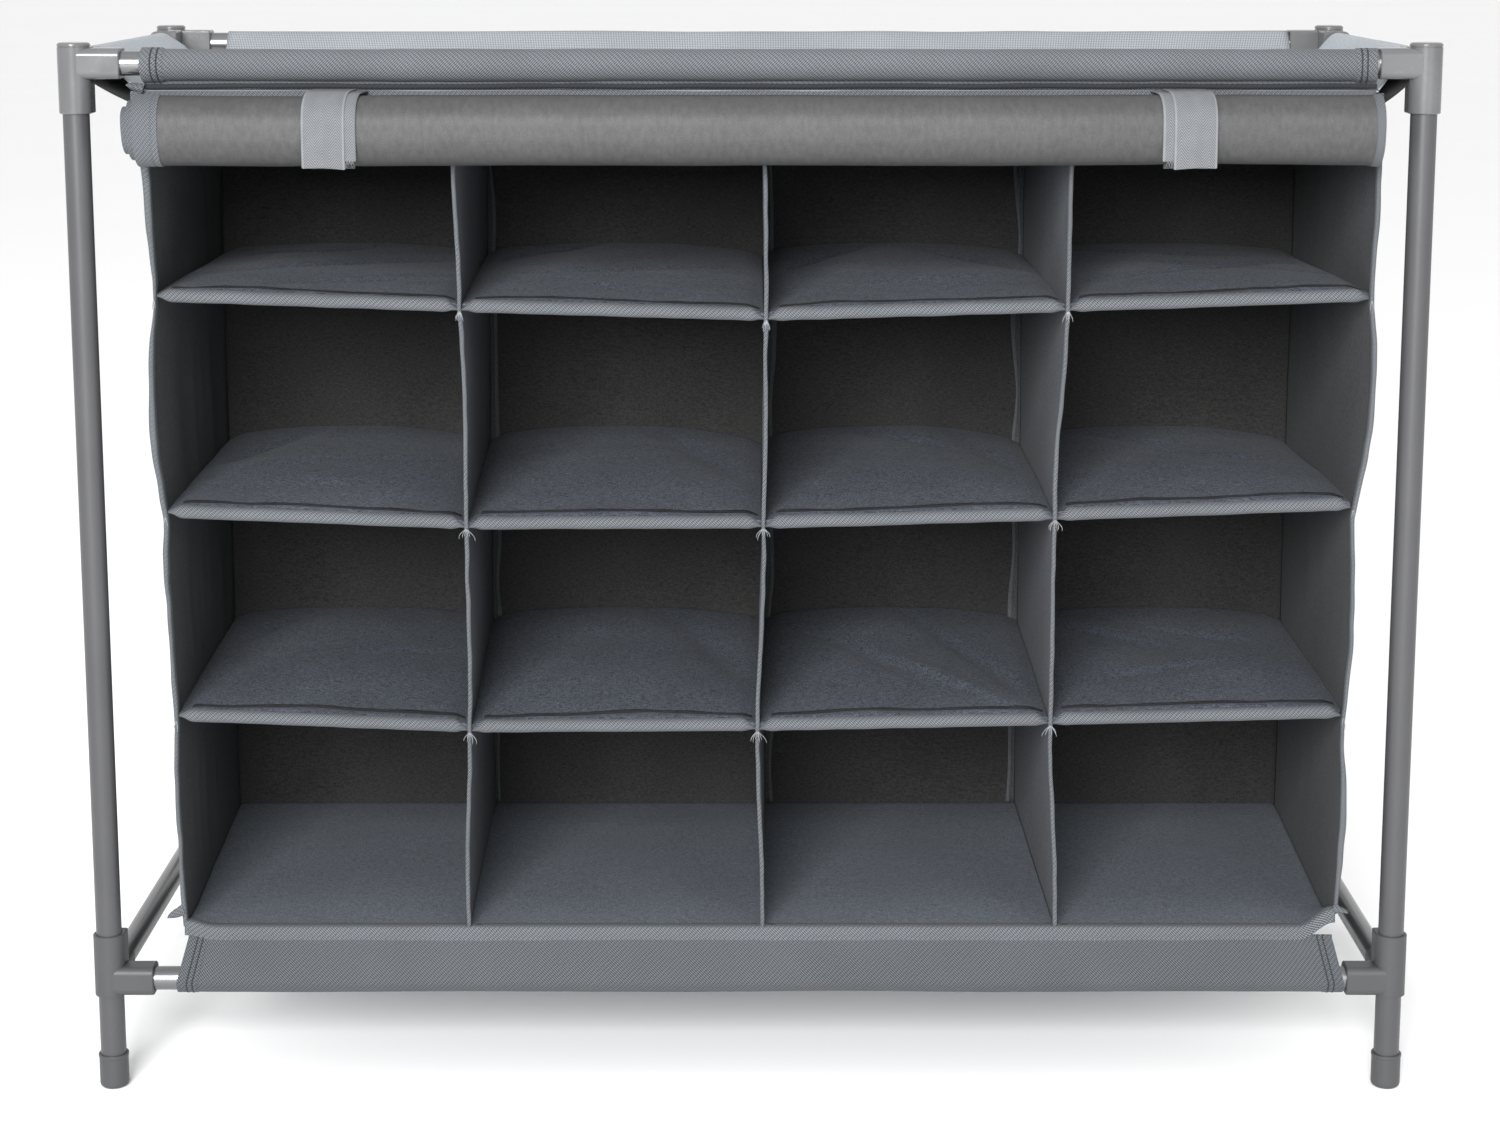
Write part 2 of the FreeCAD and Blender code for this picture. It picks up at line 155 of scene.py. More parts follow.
def follow(points):
    # gives a function that walks along the points, and the walk's length
    points = [Vector(point) for point in points]
    steps = [0.0]
    for first, second in zip(points, points[1:]):
        steps.append(steps[-1] + (second - first).length)

    def at(distance):
        distance = clamp(distance, 0, steps[-1])
        index = clamp(bisect.bisect_right(steps, distance) - 1, 0, len(points) - 2)
        gap = max(steps[index + 1] - steps[index], 1e-9)
        return points[index].lerp(points[index + 1], (distance - steps[index]) / gap)

    return at, steps[-1]


def merge(bm, fresh):
    # adds one mesh in the making to another
    part = bpy.data.meshes.new("part")
    fresh.to_mesh(part)
    fresh.free()
    bm.from_mesh(part)
    bpy.data.meshes.remove(part)


def makePiece(name, bm, material, body=None, standsFor=(), thickness=0.0, rounds=0,
              closed=False, parent=None, offset=0.0, sharp=None):
    if closed:
        bmesh.ops.recalc_face_normals(bm, faces=bm.faces)
    mesh = bpy.data.meshes.new(name)
    bm.to_mesh(mesh)
    bm.free()
    mesh.materials.append(material)
    mesh.shade_smooth()
    if sharp:
        mesh.set_sharp_from_angle(angle=math.radians(sharp))
    piece = bpy.data.objects.new(name, mesh)
    scene.collection.objects.link(piece)
    if thickness:
        solid = piece.modifiers.new("thickness", "SOLIDIFY")
        solid.thickness = thickness
        solid.offset = offset
    if rounds:
        soft = piece.modifiers.new("soft", "SUBSURF")
        soft.levels = soft.render_levels = rounds
    if parent:
        piece.parent = parent
    elif body:
        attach(piece, body)
    if standsFor:
        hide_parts(*standsFor)
    return piece


def threadTuft(bm, root, spread, length, count, down=Vector((0, 0, -1)), radius=0.0003):
    # a little fan of thread ends
    for index in range(count):
        fresh = bmesh.new()
        bmesh.ops.create_cone(fresh, cap_ends=True, segments=5, radius1=1, radius2=0.5, depth=1)
        rings = [e for e in fresh.edges if abs(e.verts[0].co.z - e.verts[1].co.z) > 0.5]
        bmesh.ops.subdivide_edges(fresh, edges=rings, cuts=5)
        side = (index + 0.5) / count * 2 - 1
        reach = length * random.uniform(0.65, 1.15)
        lean = Vector((side * spread, random.uniform(-0.3, 0.1) * spread, 0))
        curl = random.uniform(-0.4, 0.4)
        for vert in fresh.verts:
            share = vert.co.z + 0.5
            thick = radius * (1 - 0.4 * share)
            along = down * reach * share + lean * reach * math.sin(share * 1.7)
            bend = Vector((curl * reach * share * share * 0.4, 0, 0))
            vert.co = root + along + bend + Vector((vert.co.x * thick, vert.co.y * thick, 0))
        merge(bm, fresh)


# materials

def startMaterial(name, roughness, metallic=0.0, sheen=0.0, coat=0.0, specular=0.5):
    material = bpy.data.materials.new(name)
    material.use_nodes = True
    tree = material.node_tree
    shader = tree.nodes["Principled BSDF"]
    shader.inputs["Roughness"].default_value = roughness
    shader.inputs["Metallic"].default_value = metallic
    shader.inputs["Sheen Weight"].default_value = sheen
    shader.inputs["Coat Weight"].default_value = coat
    shader.inputs["Specular IOR Level"].default_value = specular
    return material, tree, shader


def addNode(tree, kind, values=None, **settings):
    node = tree.nodes.new(kind)
    for name, value in settings.items():
        setattr(node, name, value)
    for name, value in (values or {}).items():
        node.inputs[name].default_value = value
    return node


def mapped(tree, source, scale=(1, 1, 1), turn=0.0):
    place = addNode(tree, "ShaderNodeTexCoord")
    moved = addNode(tree, "ShaderNodeMapping", {"Scale": scale, "Rotation": (0, 0, math.radians(turn))})
    tree.links.new(place.outputs[source], moved.inputs["Vector"])
    return moved.outputs["Vector"]


def noiseAt(tree, vector, scale, detail=2.0, roughness=0.5):
    made = addNode(tree, "ShaderNodeTexNoise", {"Scale": scale, "Detail": detail, "Roughness": roughness})
    tree.links.new(vector, made.inputs["Vector"])
    return made.outputs["Fac"]


def ribsAt(tree, vector, pitch, direction="X", distortion=0.0):
    made = addNode(tree, "ShaderNodeTexWave", {"Scale": 0.314159 / pitch, "Distortion": distortion,
                   "Detail": 1.0, "Detail Scale": 2.0}, wave_type="BANDS", bands_direction=direction)
    tree.links.new(vector, made.inputs["Vector"])
    return made.outputs["Fac"]


def maths(tree, operation, first, second):
    made = addNode(tree, "ShaderNodeMath", operation=operation)
    for index, value in enumerate((first, second)):
        if isinstance(value, (int, float)):
            made.inputs[index].default_value = value
        else:
            tree.links.new(value, made.inputs[index])
    return made.outputs[0]


def weighted(tree, first, firstShare, second, secondShare):
    return maths(tree, "ADD", maths(tree, "MULTIPLY", first, firstShare),
                 maths(tree, "MULTIPLY", second, secondShare))


def twoTone(tree, share, dark, light, low=0.3, high=0.7):
    ramp = addNode(tree, "ShaderNodeValToRGB")
    ramp.color_ramp.elements[0].position = low
    ramp.color_ramp.elements[0].color = (*dark, 1)
    ramp.color_ramp.elements[1].position = high
    ramp.color_ramp.elements[1].color = (*light, 1)
    tree.links.new(share, ramp.inputs["Fac"])
    return ramp.outputs["Color"]


def ranged(tree, share, low, high, fromLow=0.3, fromHigh=0.7):
    # spreads a value over a new range; noise mostly lies between 0.3 and 0.7
    span = addNode(tree, "ShaderNodeMapRange", {"From Min": fromLow, "From Max": fromHigh, "To Min": low,
                                                "To Max": high})
    tree.links.new(share, span.inputs["Value"])
    return span.outputs["Result"]


def scaled(tree, colour, factor):
    made = addNode(tree, "ShaderNodeVectorMath", operation="SCALE")
    tree.links.new(colour, made.inputs[0])
    tree.links.new(factor, made.inputs["Scale"])
    return made.outputs["Vector"]


def shaded(tree, colour, share, low, high):
    # darkens and lightens a colour a little from place to place
    return scaled(tree, colour, ranged(tree, share, low, high))


def finishMaterial(tree, shader, colour, height, strength, distance):
    tree.links.new(colour, shader.inputs["Base Color"])
    bump = addNode(tree, "ShaderNodeBump", {"Strength": strength, "Distance": distance})
    tree.links.new(height, bump.inputs["Height"])
    tree.links.new(bump.outputs["Normal"], shader.inputs["Normal"])


twillPitch = 0.00125


def twillWeave(tree, vector, ribPitch, beadPitch):
    # diagonal ribs broken into beads by the cross threads
    ribs = ribsAt(tree, vector, ribPitch, "X", 0.8)
    beads = ribsAt(tree, vector, beadPitch, "Y", 0.8)
    return weighted(tree, ribs, 0.7, beads, 0.3)


def finishTwill(tree, shader, weave, dark, light):
    colour = twoTone(tree, weave, dark, light, 0.25, 0.75)
    patches = noiseAt(tree, mapped(tree, "Object"), 16, 4)
    colour = shaded(tree, colour, patches, 0.93, 1.07)
    finishMaterial(tree, shader, colour, weave, 0.6, 0.0006)


def twillMaterial(name, dark, light, turn=45):
    material, tree, shader = startMaterial(name, 0.78, sheen=0.04, specular=0.28)
    diagonal = mapped(tree, "UV", turn=turn)
    straight = mapped(tree, "UV")
    weave = twillWeave(tree, diagonal, twillPitch, twillPitch * 1.9)
    uneven = noiseAt(tree, straight, 900, 2)
    weave = weighted(tree, weave, 0.75, uneven, 0.25)
    finishTwill(tree, shader, weave, dark, light)
    return material


def twillOnObject(name, dark, light):
    # the same twill laid flat by place, for cloth that pays out
    material, tree, shader = startMaterial(name, 0.78, sheen=0.04, specular=0.28)
    place = addNode(tree, "ShaderNodeTexCoord")
    parts = addNode(tree, "ShaderNodeSeparateXYZ")
    tree.links.new(place.outputs["Object"], parts.inputs[0])
    flat = addNode(tree, "ShaderNodeCombineXYZ")
    tree.links.new(maths(tree, "ADD", parts.outputs["X"], parts.outputs["Z"]), flat.inputs["X"])
    tree.links.new(maths(tree, "SUBTRACT", parts.outputs["X"], parts.outputs["Z"]), flat.inputs["Y"])
    weave = twillWeave(tree, flat.outputs[0], twillPitch * 1.414, twillPitch * 2.7)
    finishTwill(tree, shader, weave, dark, light)
    return material


def clothMaterial(name, dark, light, unevenness):
    # plain woven cloth flecked by lighter and darker yarns that run both ways
    material, tree, shader = startMaterial(name, 0.9, sheen=0.03, specular=0.12)
    yarnsOne = noiseAt(tree, mapped(tree, "Object", (2.6, 0.55, 0.7)), 620, 2, 0.6)
    yarnsTwo = noiseAt(tree, mapped(tree, "Object", (0.6, 2.4, 2.4)), 520, 2, 0.6)
    yarns = maths(tree, "MULTIPLY", maths(tree, "ADD", yarnsOne, yarnsTwo), 0.5)
    colour = twoTone(tree, yarns, dark, light, 0.36, 0.64)
    patches = noiseAt(tree, mapped(tree, "Object"), 11, 5, 0.6)
    colour = shaded(tree, colour, patches, 1 - unevenness, 1 + unevenness)
    finishMaterial(tree, shader, colour, yarns, 0.45, 0.0005)
    return material


def coatedMaterial(name, dark, light):
    # the cover's coated face: faint weave under a thin dull film, softly mottled
    material, tree, shader = startMaterial(name, 0.56, specular=0.28)
    place = mapped(tree, "UV")
    weave = noiseAt(tree, place, 1100, 2)
    mottle = noiseAt(tree, mapped(tree, "UV", (1, 0.5, 1)), 260, 4, 0.65)
    broad = noiseAt(tree, place, 22, 4)
    both = weighted(tree, weave, 0.4, mottle, 0.6)
    colour = twoTone(tree, both, dark, light, 0.34, 0.66)
    colour = shaded(tree, colour, broad, 0.95, 1.05)
    finishMaterial(tree, shader, colour, both, 0.35, 0.0006)
    return material


def webbingMaterial(name, dark, light, stripe, pitch, width, selvedge, shadedTopEnd):
    # narrow tape with a zigzag weave between plain selvedges
    material, tree, shader = startMaterial(name, 0.66, sheen=0.04, specular=0.3)
    place = addNode(tree, "ShaderNodeTexCoord")
    parts = addNode(tree, "ShaderNodeSeparateXYZ")
    tree.links.new(place.outputs["UV"], parts.inputs[0])
    across, along = parts.outputs["X"], parts.outputs["Y"]
    zigzag = maths(tree, "PINGPONG", across, stripe)
    slant = maths(tree, "ADD", along, maths(tree, "MULTIPLY", zigzag, 1.3))
    wave = maths(tree, "SINE", maths(tree, "MULTIPLY", slant, math.tau / pitch), 0)
    weave = maths(tree, "ADD", maths(tree, "MULTIPLY", wave, 0.5), 0.5)
    edge = maths(tree, "PINGPONG", across, width / 2)
    plain = maths(tree, "LESS_THAN", edge, selvedge)
    weave = maths(tree, "MAXIMUM", weave, maths(tree, "MULTIPLY", plain, 0.75))
    # painted shade: the first 2 cm of the tape are darkened to 0.62, for the hook strap's top under the
    # seam's lip
    hook = ranged(tree, along, 0.62, 1.0, shadedTopEnd, shadedTopEnd + 0.006)
    colour = scaled(tree, twoTone(tree, weave, dark, light, 0.15, 0.85), hook)
    patches = noiseAt(tree, mapped(tree, "UV"), 90, 3)
    colour = shaded(tree, colour, patches, 0.93, 1.06)
    finishMaterial(tree, shader, colour, weave, 0.5, 0.0006)
    return material


def hardMaterial(name, dark, light, roughness, grain, bump, metallic=0.0, coat=0.0, specular=0.5,
                 stretch=(1, 1, 1)):
    # painted or moulded surface with a faint skin texture
    material, tree, shader = startMaterial(name, roughness, metallic, coat=coat, specular=specular)
    skin = noiseAt(tree, mapped(tree, "Object", stretch), grain, 3)
    broad = noiseAt(tree, mapped(tree, "Object"), 18, 4)
    colour = twoTone(tree, broad, dark, light, 0.35, 0.65)
    colour = shaded(tree, colour, skin, 0.96, 1.04)
    tree.links.new(ranged(tree, skin, roughness - 0.05, roughness + 0.06), shader.inputs["Roughness"])
    finishMaterial(tree, shader, colour, skin, bump, 0.0002)
    return material


postPaint = hardMaterial("postPaint", dark=(0.0457, 0.0461, 0.0484), light=(0.0501, 0.0506, 0.0529),
                         roughness=0.34, grain=1400, bump=0.05, specular=0.4)
railMetal = hardMaterial("railMetal", dark=(0.168, 0.1696, 0.1736), light=(0.18, 0.1816, 0.1856),
                         metallic=0.9, roughness=0.28, grain=6, bump=0.0)
connectorPlastic = hardMaterial("connectorPlastic", dark=(0.0793, 0.08, 0.0828),
                                light=(0.0903, 0.0913, 0.0941), roughness=0.24, grain=60, bump=0.18,
                                coat=0.15, specular=0.4)
footPlastic = hardMaterial("footPlastic", dark=(0.0425, 0.0431, 0.0448), light=(0.0475, 0.0482, 0.0499),
                           roughness=0.45, grain=900, bump=0.1, specular=0.35)
boardCard = hardMaterial("boardCard", dark=(0.25, 0.19, 0.12), light=(0.3, 0.23, 0.15), roughness=0.8,
                         grain=500, bump=0.3, stretch=(0.2, 1, 1))
twillCloth = twillMaterial("twillCloth", dark=(0.017, 0.0191, 0.0221), light=(0.1292, 0.1402, 0.1531))
# a darker copy of the twill: painted shade on the apron, which gets less light from below
shadedApronTwill = twillMaterial("shadedApronTwill", dark=(0.0134, 0.0151, 0.0175), light=(0.0868, 0.0941, 0.103))
# very dark twill: real dark stitch lines, and on the front piping painted shade from the sleeve above it
stitchingAndShadeTwill = twillMaterial("stitchingAndShadeTwill", dark=(0.0064, 0.0074, 0.0086), light=(0.0272, 0.0298, 0.0333))
cabinetCloth = clothMaterial("cabinetCloth", dark=(0.01, 0.0115, 0.0145), light=(0.0885, 0.1022, 0.1272),
                             unevenness=0.14)
# a lighter copy of the shelf cloth: painted light, as the floor gets more light than the shelves above
paintedLightFloorCloth = clothMaterial("paintedLightFloorCloth", dark=(0.0448, 0.0514, 0.0611), light=(0.112, 0.1268, 0.1506),
                           unevenness=0.05)
wallCloth = clothMaterial("wallCloth", dark=(0.0346, 0.0387, 0.0461), light=(0.0778, 0.0861, 0.1014),
                          unevenness=0.06)
sideCloth = clothMaterial("sideCloth", dark=(0.0243, 0.0265, 0.0276), light=(0.0551, 0.0595, 0.0617),
                          unevenness=0.06)
darkCloth = clothMaterial("darkCloth", dark=(0.0148, 0.0148, 0.0146), light=(0.0361, 0.0366, 0.0355),
                          unevenness=0.12)
paleTwill = twillMaterial("paleTwill", dark=(0.094, 0.1025, 0.1128), light=(0.2726, 0.2914, 0.3102),
                          turn=0.8)
sleeveCloth = clothMaterial("sleeveCloth", dark=(0.231, 0.252, 0.273), light=(0.336, 0.3623, 0.3832),
                            unevenness=0.04)
coverFace = coatedMaterial("coverFace", dark=(0.0324, 0.0324, 0.0327), light=(0.0531, 0.0531, 0.0531))
webbingTape = webbingMaterial("webbingTape", dark=(0.0609, 0.0657, 0.0713), light=(0.1462, 0.1535, 0.1614),
                              stripe=0.0045, pitch=0.0019, width=0.028, selvedge=0.0016, shadedTopEnd=0.02)
threadYarn = clothMaterial("threadYarn", dark=(0.12, 0.128, 0.137), light=(0.24, 0.255, 0.27),
                           unevenness=0.05)
darkThread = clothMaterial("darkThread", dark=(0.006, 0.006, 0.007), light=(0.02, 0.02, 0.022),
                           unevenness=0.05)
print("materials made")

nodeFinish = {"post_": postPaint, "leg_": postPaint, "foot_cap": footPlastic,
              "top_connector": connectorPlastic,
              "base_connector": footPlastic, "connector_cap": connectorPlastic, "top_rail": railMetal,
              "base_rail": railMetal, "shelf_boards": boardCard, "floor_boards": boardCard}
for name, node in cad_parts.items():
    for start, material in nodeFinish.items():
        if name.startswith(start):
            for slot in node.material_slots:
                slot.material = material


# walls of the cabinet

wallLook = {
    # millimetres right of the plain wall at the roof, the three shelves and the floor, along the front edge
    "front": [[1.5, 3.5, 6, 8.5, 10], [0.5, 3.5, 5.5, 5.5, 3], [2, 4.5, 3, -1, 2.5], [4, 2.7, -3.5, -4, 1.5],
              [2, 1.5, -5.5, -7, -8.5]],
    "bulge": [[-0.5, -4.5, -1.5, -1.5], [-0.8, 0.6, 0.8, -0.6], [0.8, -0.6, 0.6, 0.4], [0.5, -1, 0.6, 0.8],
              [1, 6.5, 3.5, 2.5]],
    "rear": [-3, -4, 5, 0, 2.5],
    "ripple": 1.6,
    "pleat": [1.3, 0.5, 0.5, 0.5, 1.2],
    "cloth": 0.0012,
    # millimetres across the turned hem of each outer panel, from the roof down to the floor
    "hem": {0: [9, 4.5, 1.8, 4, 3.4, 2.6, 2.8, 2.6, 3], 4: [3.5, 3, 2.6, 3.2, 2.6, 2.6, 2.2, 4, 2.4]},
}
cornerRise = {"left": 0.004, "right": 0.013, "run": 0.05}
levels = [roofZ, *rowZ, floorZ]
wallMiddles = [middleOf(name).x for name in wallNodes]


def levelAt(z):
    for index in range(len(levels) - 1):
        if z >= levels[index + 1]:
            return index + clamp((levels[index] - z) / (levels[index] - levels[index + 1]))
    return len(levels) - 1.0


def wallX(wall, y, z):
    place = levelAt(z)
    interval = min(int(place), 3)
    belly = math.sin(math.pi * (place - interval))
    back = clamp((y - frontY) / depth)
    front = table(wallLook["front"][wall], place) + wallLook["bulge"][wall][interval] * belly
    shift = front * (1 - back) ** 1.2 + wallLook["rear"][wall] * back
    ripple = noise.noise((wall * 5.3, y * 10, z * 9)) * wallLook["ripple"] * belly
    ripple += (noise.noise((wall * 3.1 + 40, y * 44, z * 3.2))
               * wallLook["pleat"][wall] * (0.35 + 0.65 * belly))
    return wallMiddles[wall] + (shift + ripple) / 1000


def riseAt(x, y):
    # how far the floor's front corners are pulled up beside the outer panels
    near = 1 - smooth((y - frontY) / cornerRise["run"])
    left = 1 - smooth((x - wallX(0, y, floorZ)) / 0.02)
    right = 1 - smooth((wallX(4, y, floorZ) - x) / 0.024)
    return near * (cornerRise["left"] * left + cornerRise["right"] * right)


def buildWall(wall):
    name = wallNodes[wall]
    low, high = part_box(name)
    bottom, top = low.z + 0.0005, high.z - 0.0005
    outer = wall in (0, 4)
    # the outer walls close the corner, the dividers stop at the back panel
    rear = backY + (0.0014 if wall in (0, columnCount) else -0.0004)
    start = frontY + 0.0015
    bm = clothGrid(rear - start, top - bottom, 46, 110)
    rise = cornerRise["left"] if wall == 0 else cornerRise["right"]

    def hung(y, v):
        # outer panels stop at the floor's lifted front corners
        lift = (rise + 0.005) * (1 - smooth((y - frontY) / cornerRise["run"])) if outer else 0
        z = bottom + lift + v * (1 - lift / (top - bottom))
        return Vector((wallX(wall, y, z), y, z))

    lay(bm, lambda u, v: hung(start + u, v))
    cloth = makePiece(name.replace("_", "-"), bm, sideCloth if outer else wallCloth, "frame",
                      [name], wallLook["cloth"])
    # the binding round the front edge
    half = 0.0013
    reach = 0.006 if not outer else 0.008
    arc = [(half, reach), (half * 1.05, 0.001)] + [tuple(p) for p in arcPoints((0, half), half, 0, -180, 6)]
    arc += [(-half * 1.05, 0.001), (-half, reach)]
    walk, length = follow(arc)
    bm = clothGrid(length, top - bottom, 12, 170)
    outward = -1 if wall == 0 else 1

    def place(u, v):
        point = walk(u)
        y = frontY + point.y
        edge = hung(frontY, v)
        z = edge.z
        wobble = noise.noise((wall * 9.1, z * 60, 3)) * 0.0005
        if not outer:
            return Vector((wallX(wall, max(y, start), z) + point.x * (1 + wobble * 300) + wobble, y, z))
        wide = table(wallLook["hem"][wall], levelAt(z) * 2) / 1000
        wide *= 1 + 0.25 * noise.noise((wall * 2.3, z * 34, 8))
        wobble += noise.noise((wall * 4.4, z * 24, 6)) * 0.0008
        x = wallX(wall, max(y, start), z) + outward * (wide / 2 - 0.0011) + point.x / half * wide / 2 + wobble
        return Vector((x, y - 0.0004, z))

    lay(bm, place)
    makePiece(name.replace("_", "-") + "-binding", bm, twillCloth, thickness=0.0004,
              offset=1, parent=cloth)
    return cloth


wallPieces = [buildWall(wall) for wall in range(5)]


def buildEar(name, root, tip, width, parent, seed, curl=0.002):
    # a small raw corner of cloth that sticks out where seams meet
    root, tip = Vector(root), Vector(tip)
    way = tip - root
    side = Vector((-way.z, 0, way.x)).normalized()
    bm = clothGrid(width, way.length, 10, 12)

    def place(u, v):
        share = v / way.length
        wide = max(1 - share, 0.0) ** 0.55 * (1 + 0.25 * noise.noise((share * 5, seed, 1)))
        swell = math.sin(math.pi * clamp(u / width)) * curl + noise.noise((u * 300, v * 300, seed)) * 0.0009
        return root + way * share + side * (u - width / 2) * wide + Vector((0, -swell, 0))

    lay(bm, place)
    return makePiece(name, bm, twillCloth, thickness=0.0009, rounds=1, parent=parent)


buildEar("corner-ear-left", (-0.3868, frontY + 0.001, 0.1265), (-0.3982, frontY - 0.001, 0.1215), 0.0085,
         wallPieces[0], 3)
buildEar("corner-ear-right", (0.3985, frontY + 0.001, 0.1275), (0.4085, frontY - 0.001, 0.1255), 0.006,
         wallPieces[4], 5)
buildEar("seam-ear-left", (-0.3935, frontY - 0.003, 0.6855), (-0.4045, frontY - 0.004, 0.6885), 0.0075,
         wallPieces[0], 7, 0.0035)


def buildBack():
    low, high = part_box("back_panel")
    low.x, high.x = wallX(0, backY, rowZ[1]) - 0.003, wallX(4, backY, rowZ[1]) + 0.003
    bm = clothGrid(high.x - low.x, high.z - low.z, 120, 80)

    def place(u, v):
        x, z = low.x + u, low.z + v
        swell = abs(noise.noise((x * 9, 1.3, z * 8))) * 0.0012 * smooth(min(u, high.x - low.x - u) / 0.03)
        return Vector((x, middleOf("back_panel").y + swell, z))

    lay(bm, place)
    cloth = makePiece("back-panel", bm, darkCloth, "frame", ["back_panel"], 0.0012)


def buildRoof():
    low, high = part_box("roof_panel")
    bm = clothGrid(high.x - low.x, high.y - low.y, 110, 50)

    def place(u, v):
        x, y = low.x + u, low.y + v
        edge = min(u, high.x - low.x - u, v, high.y - low.y - v)
        sag = smooth(edge / 0.05) * (0.0012 + 0.0012 * abs(noise.noise((x * 7, y * 9, 2))))
        return Vector((x, y, (low.z + high.z) / 2 - sag))

    lay(bm, place)
    cloth = makePiece("roof-panel", bm, sleeveCloth, "frame", ["roof_panel"], 0.0012)


def buildRearFlanges():
    # the seam allowance down the rear edge of each divider, with its pale cut edge
    strips = {"divider-seam-flanges": (0.0, 1.0, sideCloth), "divider-flange-edges": (0.66, 1.16, twillCloth)}
    for name, (inner, outer, cloth) in strips.items():
        bm = bmesh.new()
        for wall in (1, 2, 3):
            side = 1 if wall < 3 else -1
            top, bottom = roofZ - 0.002, floorZ + 0.001
            fresh = clothGrid(1.0, top - bottom, 4, 110)

            def place(u, v):
                z = bottom + v
                reach = 0.0048 + noise.noise((wall * 3.7, z * 17, 5)) * 0.0042
                share = mix(inner, outer, u)
                y = backY - 0.0012 - 0.0015 * (1 - share) - (0.0007 if inner else 0)
                return Vector((wallX(wall, backY, z) + side * (0.0008 + share * reach), y, z))

            lay(fresh, place)
            merge(bm, fresh)
        makePiece(name, bm, cloth, thickness=0.0005, parent=wallPieces[2])


buildBack()
buildRoof()
buildRearFlanges()
print("walls made")


# quilted shelves

shelfLook = {
    # millimetres above the plain shelf at each wall, along the front edge
    "front": [[8, 1, -5, 1, 8], [5, -3, -2.5, 3, 10], [7, -1, 0, 4, 9]],
    "rear": [3, 2.5, 4.5],
    "crown": [5.0, 8.0, 6.5],
    # how far the rear right corner of each pad falls
    "fall": [2.5, 4.5, 2.0],
    "crease": 2.3,
    "half": 0.00415,
    "edge": 0.0012,
    "pinch": 0.0115,
    "bandDepth": 0.0042,
    "neck": [0.0003, 0.0027, 0.0027, 0.0027, 0.0022],
}
shelfCreases = {
    # from and to across and back as shares of the cell, width and height in millimetres
    (0, 0): [(0.05, 0.3, 0.95, 0.72, 9, -1.6), (0.1, 0.75, 0.7, 0.9, 8, -1.5),
             (0.35, 0.1, 0.98, 0.4, 8, -1.2)],
    (0, 1): [(0.02, 0.7, 0.4, 0.95, 7, -2.6), (0.1, 0.4, 0.95, 0.6, 7, -1.4),
             (0.2, 0.4, 0.65, 0.12, 7, -1.2)],
    (0, 2): [(0.03, 0.55, 0.4, 0.95, 8, -2.2), (0.5, 0.92, 0.98, 0.5, 9, -1.8),
             (0.3, 0.3, 0.9, 0.36, 7, -1.2)],
    (0, 3): [(0.1, 0.85, 0.75, 0.7, 8, -1.6), (0.15, 0.25, 0.95, 0.6, 9, -1.5),
             (0.3, 0.6, 0.98, 0.3, 7, -1.3)],
    (1, 0): [(0.08, 0.5, 0.35, 0.92, 8, -1.6), (0.1, 0.45, 0.95, 0.6, 12, 1.2),
             (0.3, 0.2, 0.8, 0.25, 9, -0.7)],
    (1, 1): [(0.6, 0.95, 0.98, 0.35, 16, -2.0)],
    (1, 2): [(0.3, 0.98, 0.8, 0.6, 10, -1.6), (0.7, 0.95, 0.98, 0.4, 12, -2.0)],
    (1, 3): [(0.35, 0.62, 0.98, 0.42, 8, -1.6), (0.2, 0.95, 0.6, 0.6, 8, -1.6)],
    (2, 0): [(0.08, 0.6, 0.3, 0.95, 9, -1.6), (0.55, 0.5, 0.97, 0.58, 7, -1.1)],
    (2, 1): [(0.65, 0.97, 0.98, 0.3, 16, -2.2)],
    (2, 2): [(0.1, 0.85, 0.6, 0.25, 9, -1.9), (0.55, 0.95, 0.97, 0.1, 8, -2.0),
             (0.45, 0.5, 0.9, 0.06, 7, 1.4)],
    (2, 3): [(0.02, 0.95, 0.5, 0.5, 9, -2.0), (0.3, 0.85, 0.85, 0.55, 8, -1.6),
             (0.2, 0.25, 0.75, 0.4, 8, -1.2)],
}
clothHalf = wallLook["cloth"] / 2 + 0.0006


def shelfLift(row, column, s, t):
    ends = shelfLook["front"][row]
    front = mix(ends[column], ends[column + 1], s)
    return mix(front, shelfLook["rear"][row], smooth(t)) / 1000


def shelfSpan(row, column, y):
    z = rowZ[row]
    return wallX(column, y, z) + clothHalf, wallX(column + 1, y, z) - clothHalf


def creaseHeight(row, column, s, t):
    total = 0.0
    width, run = 0.2, depth
    point = Vector((s * width, t * run))
    for s0, t0, s1, t1, wide, tall in shelfCreases[(row, column)]:
        start, end = Vector((s0 * width, t0 * run)), Vector((s1 * width, t1 * run))
        line = end - start
        share = clamp((point - start).dot(line) / line.length_squared)
        away = (point - start - line * share).length
        fade = math.sin(math.pi * clamp(share, 0.04, 0.96)) ** 0.6
        total += shelfLook["crease"] * tall / 1000 * fade * math.exp(-(away / (wide * 0.85 / 1000)) ** 2)
    return total


def padTop(row, column, s, t):
    across = 1 - abs(2 * s - 1) ** 2.6
    forward = 0.12 + 0.88 * smooth(t / 0.4)
    crown = shelfLook["crown"][row] / 1000 * across * forward
    away = min(s, 1 - s, 1 - t)
    soft = noise.noise((s * 3.1 + row * 7, t * 3.7 + column * 5, 1.7)) * 0.0016
    soft += noise.noise((s * 9 + row * 3, t * 11 + column * 8, 4.1)) * 0.0006
    return crown + (soft + creaseHeight(row, column, s, t)) * smooth(away / 0.08) * smooth(t / 0.04)


def seamLine(row, column, s):
    # how far behind the band the quilting line runs
    return 0.0125 + 0.0035 * noise.noise((s * 3 + column * 4, row * 5.3, 6))


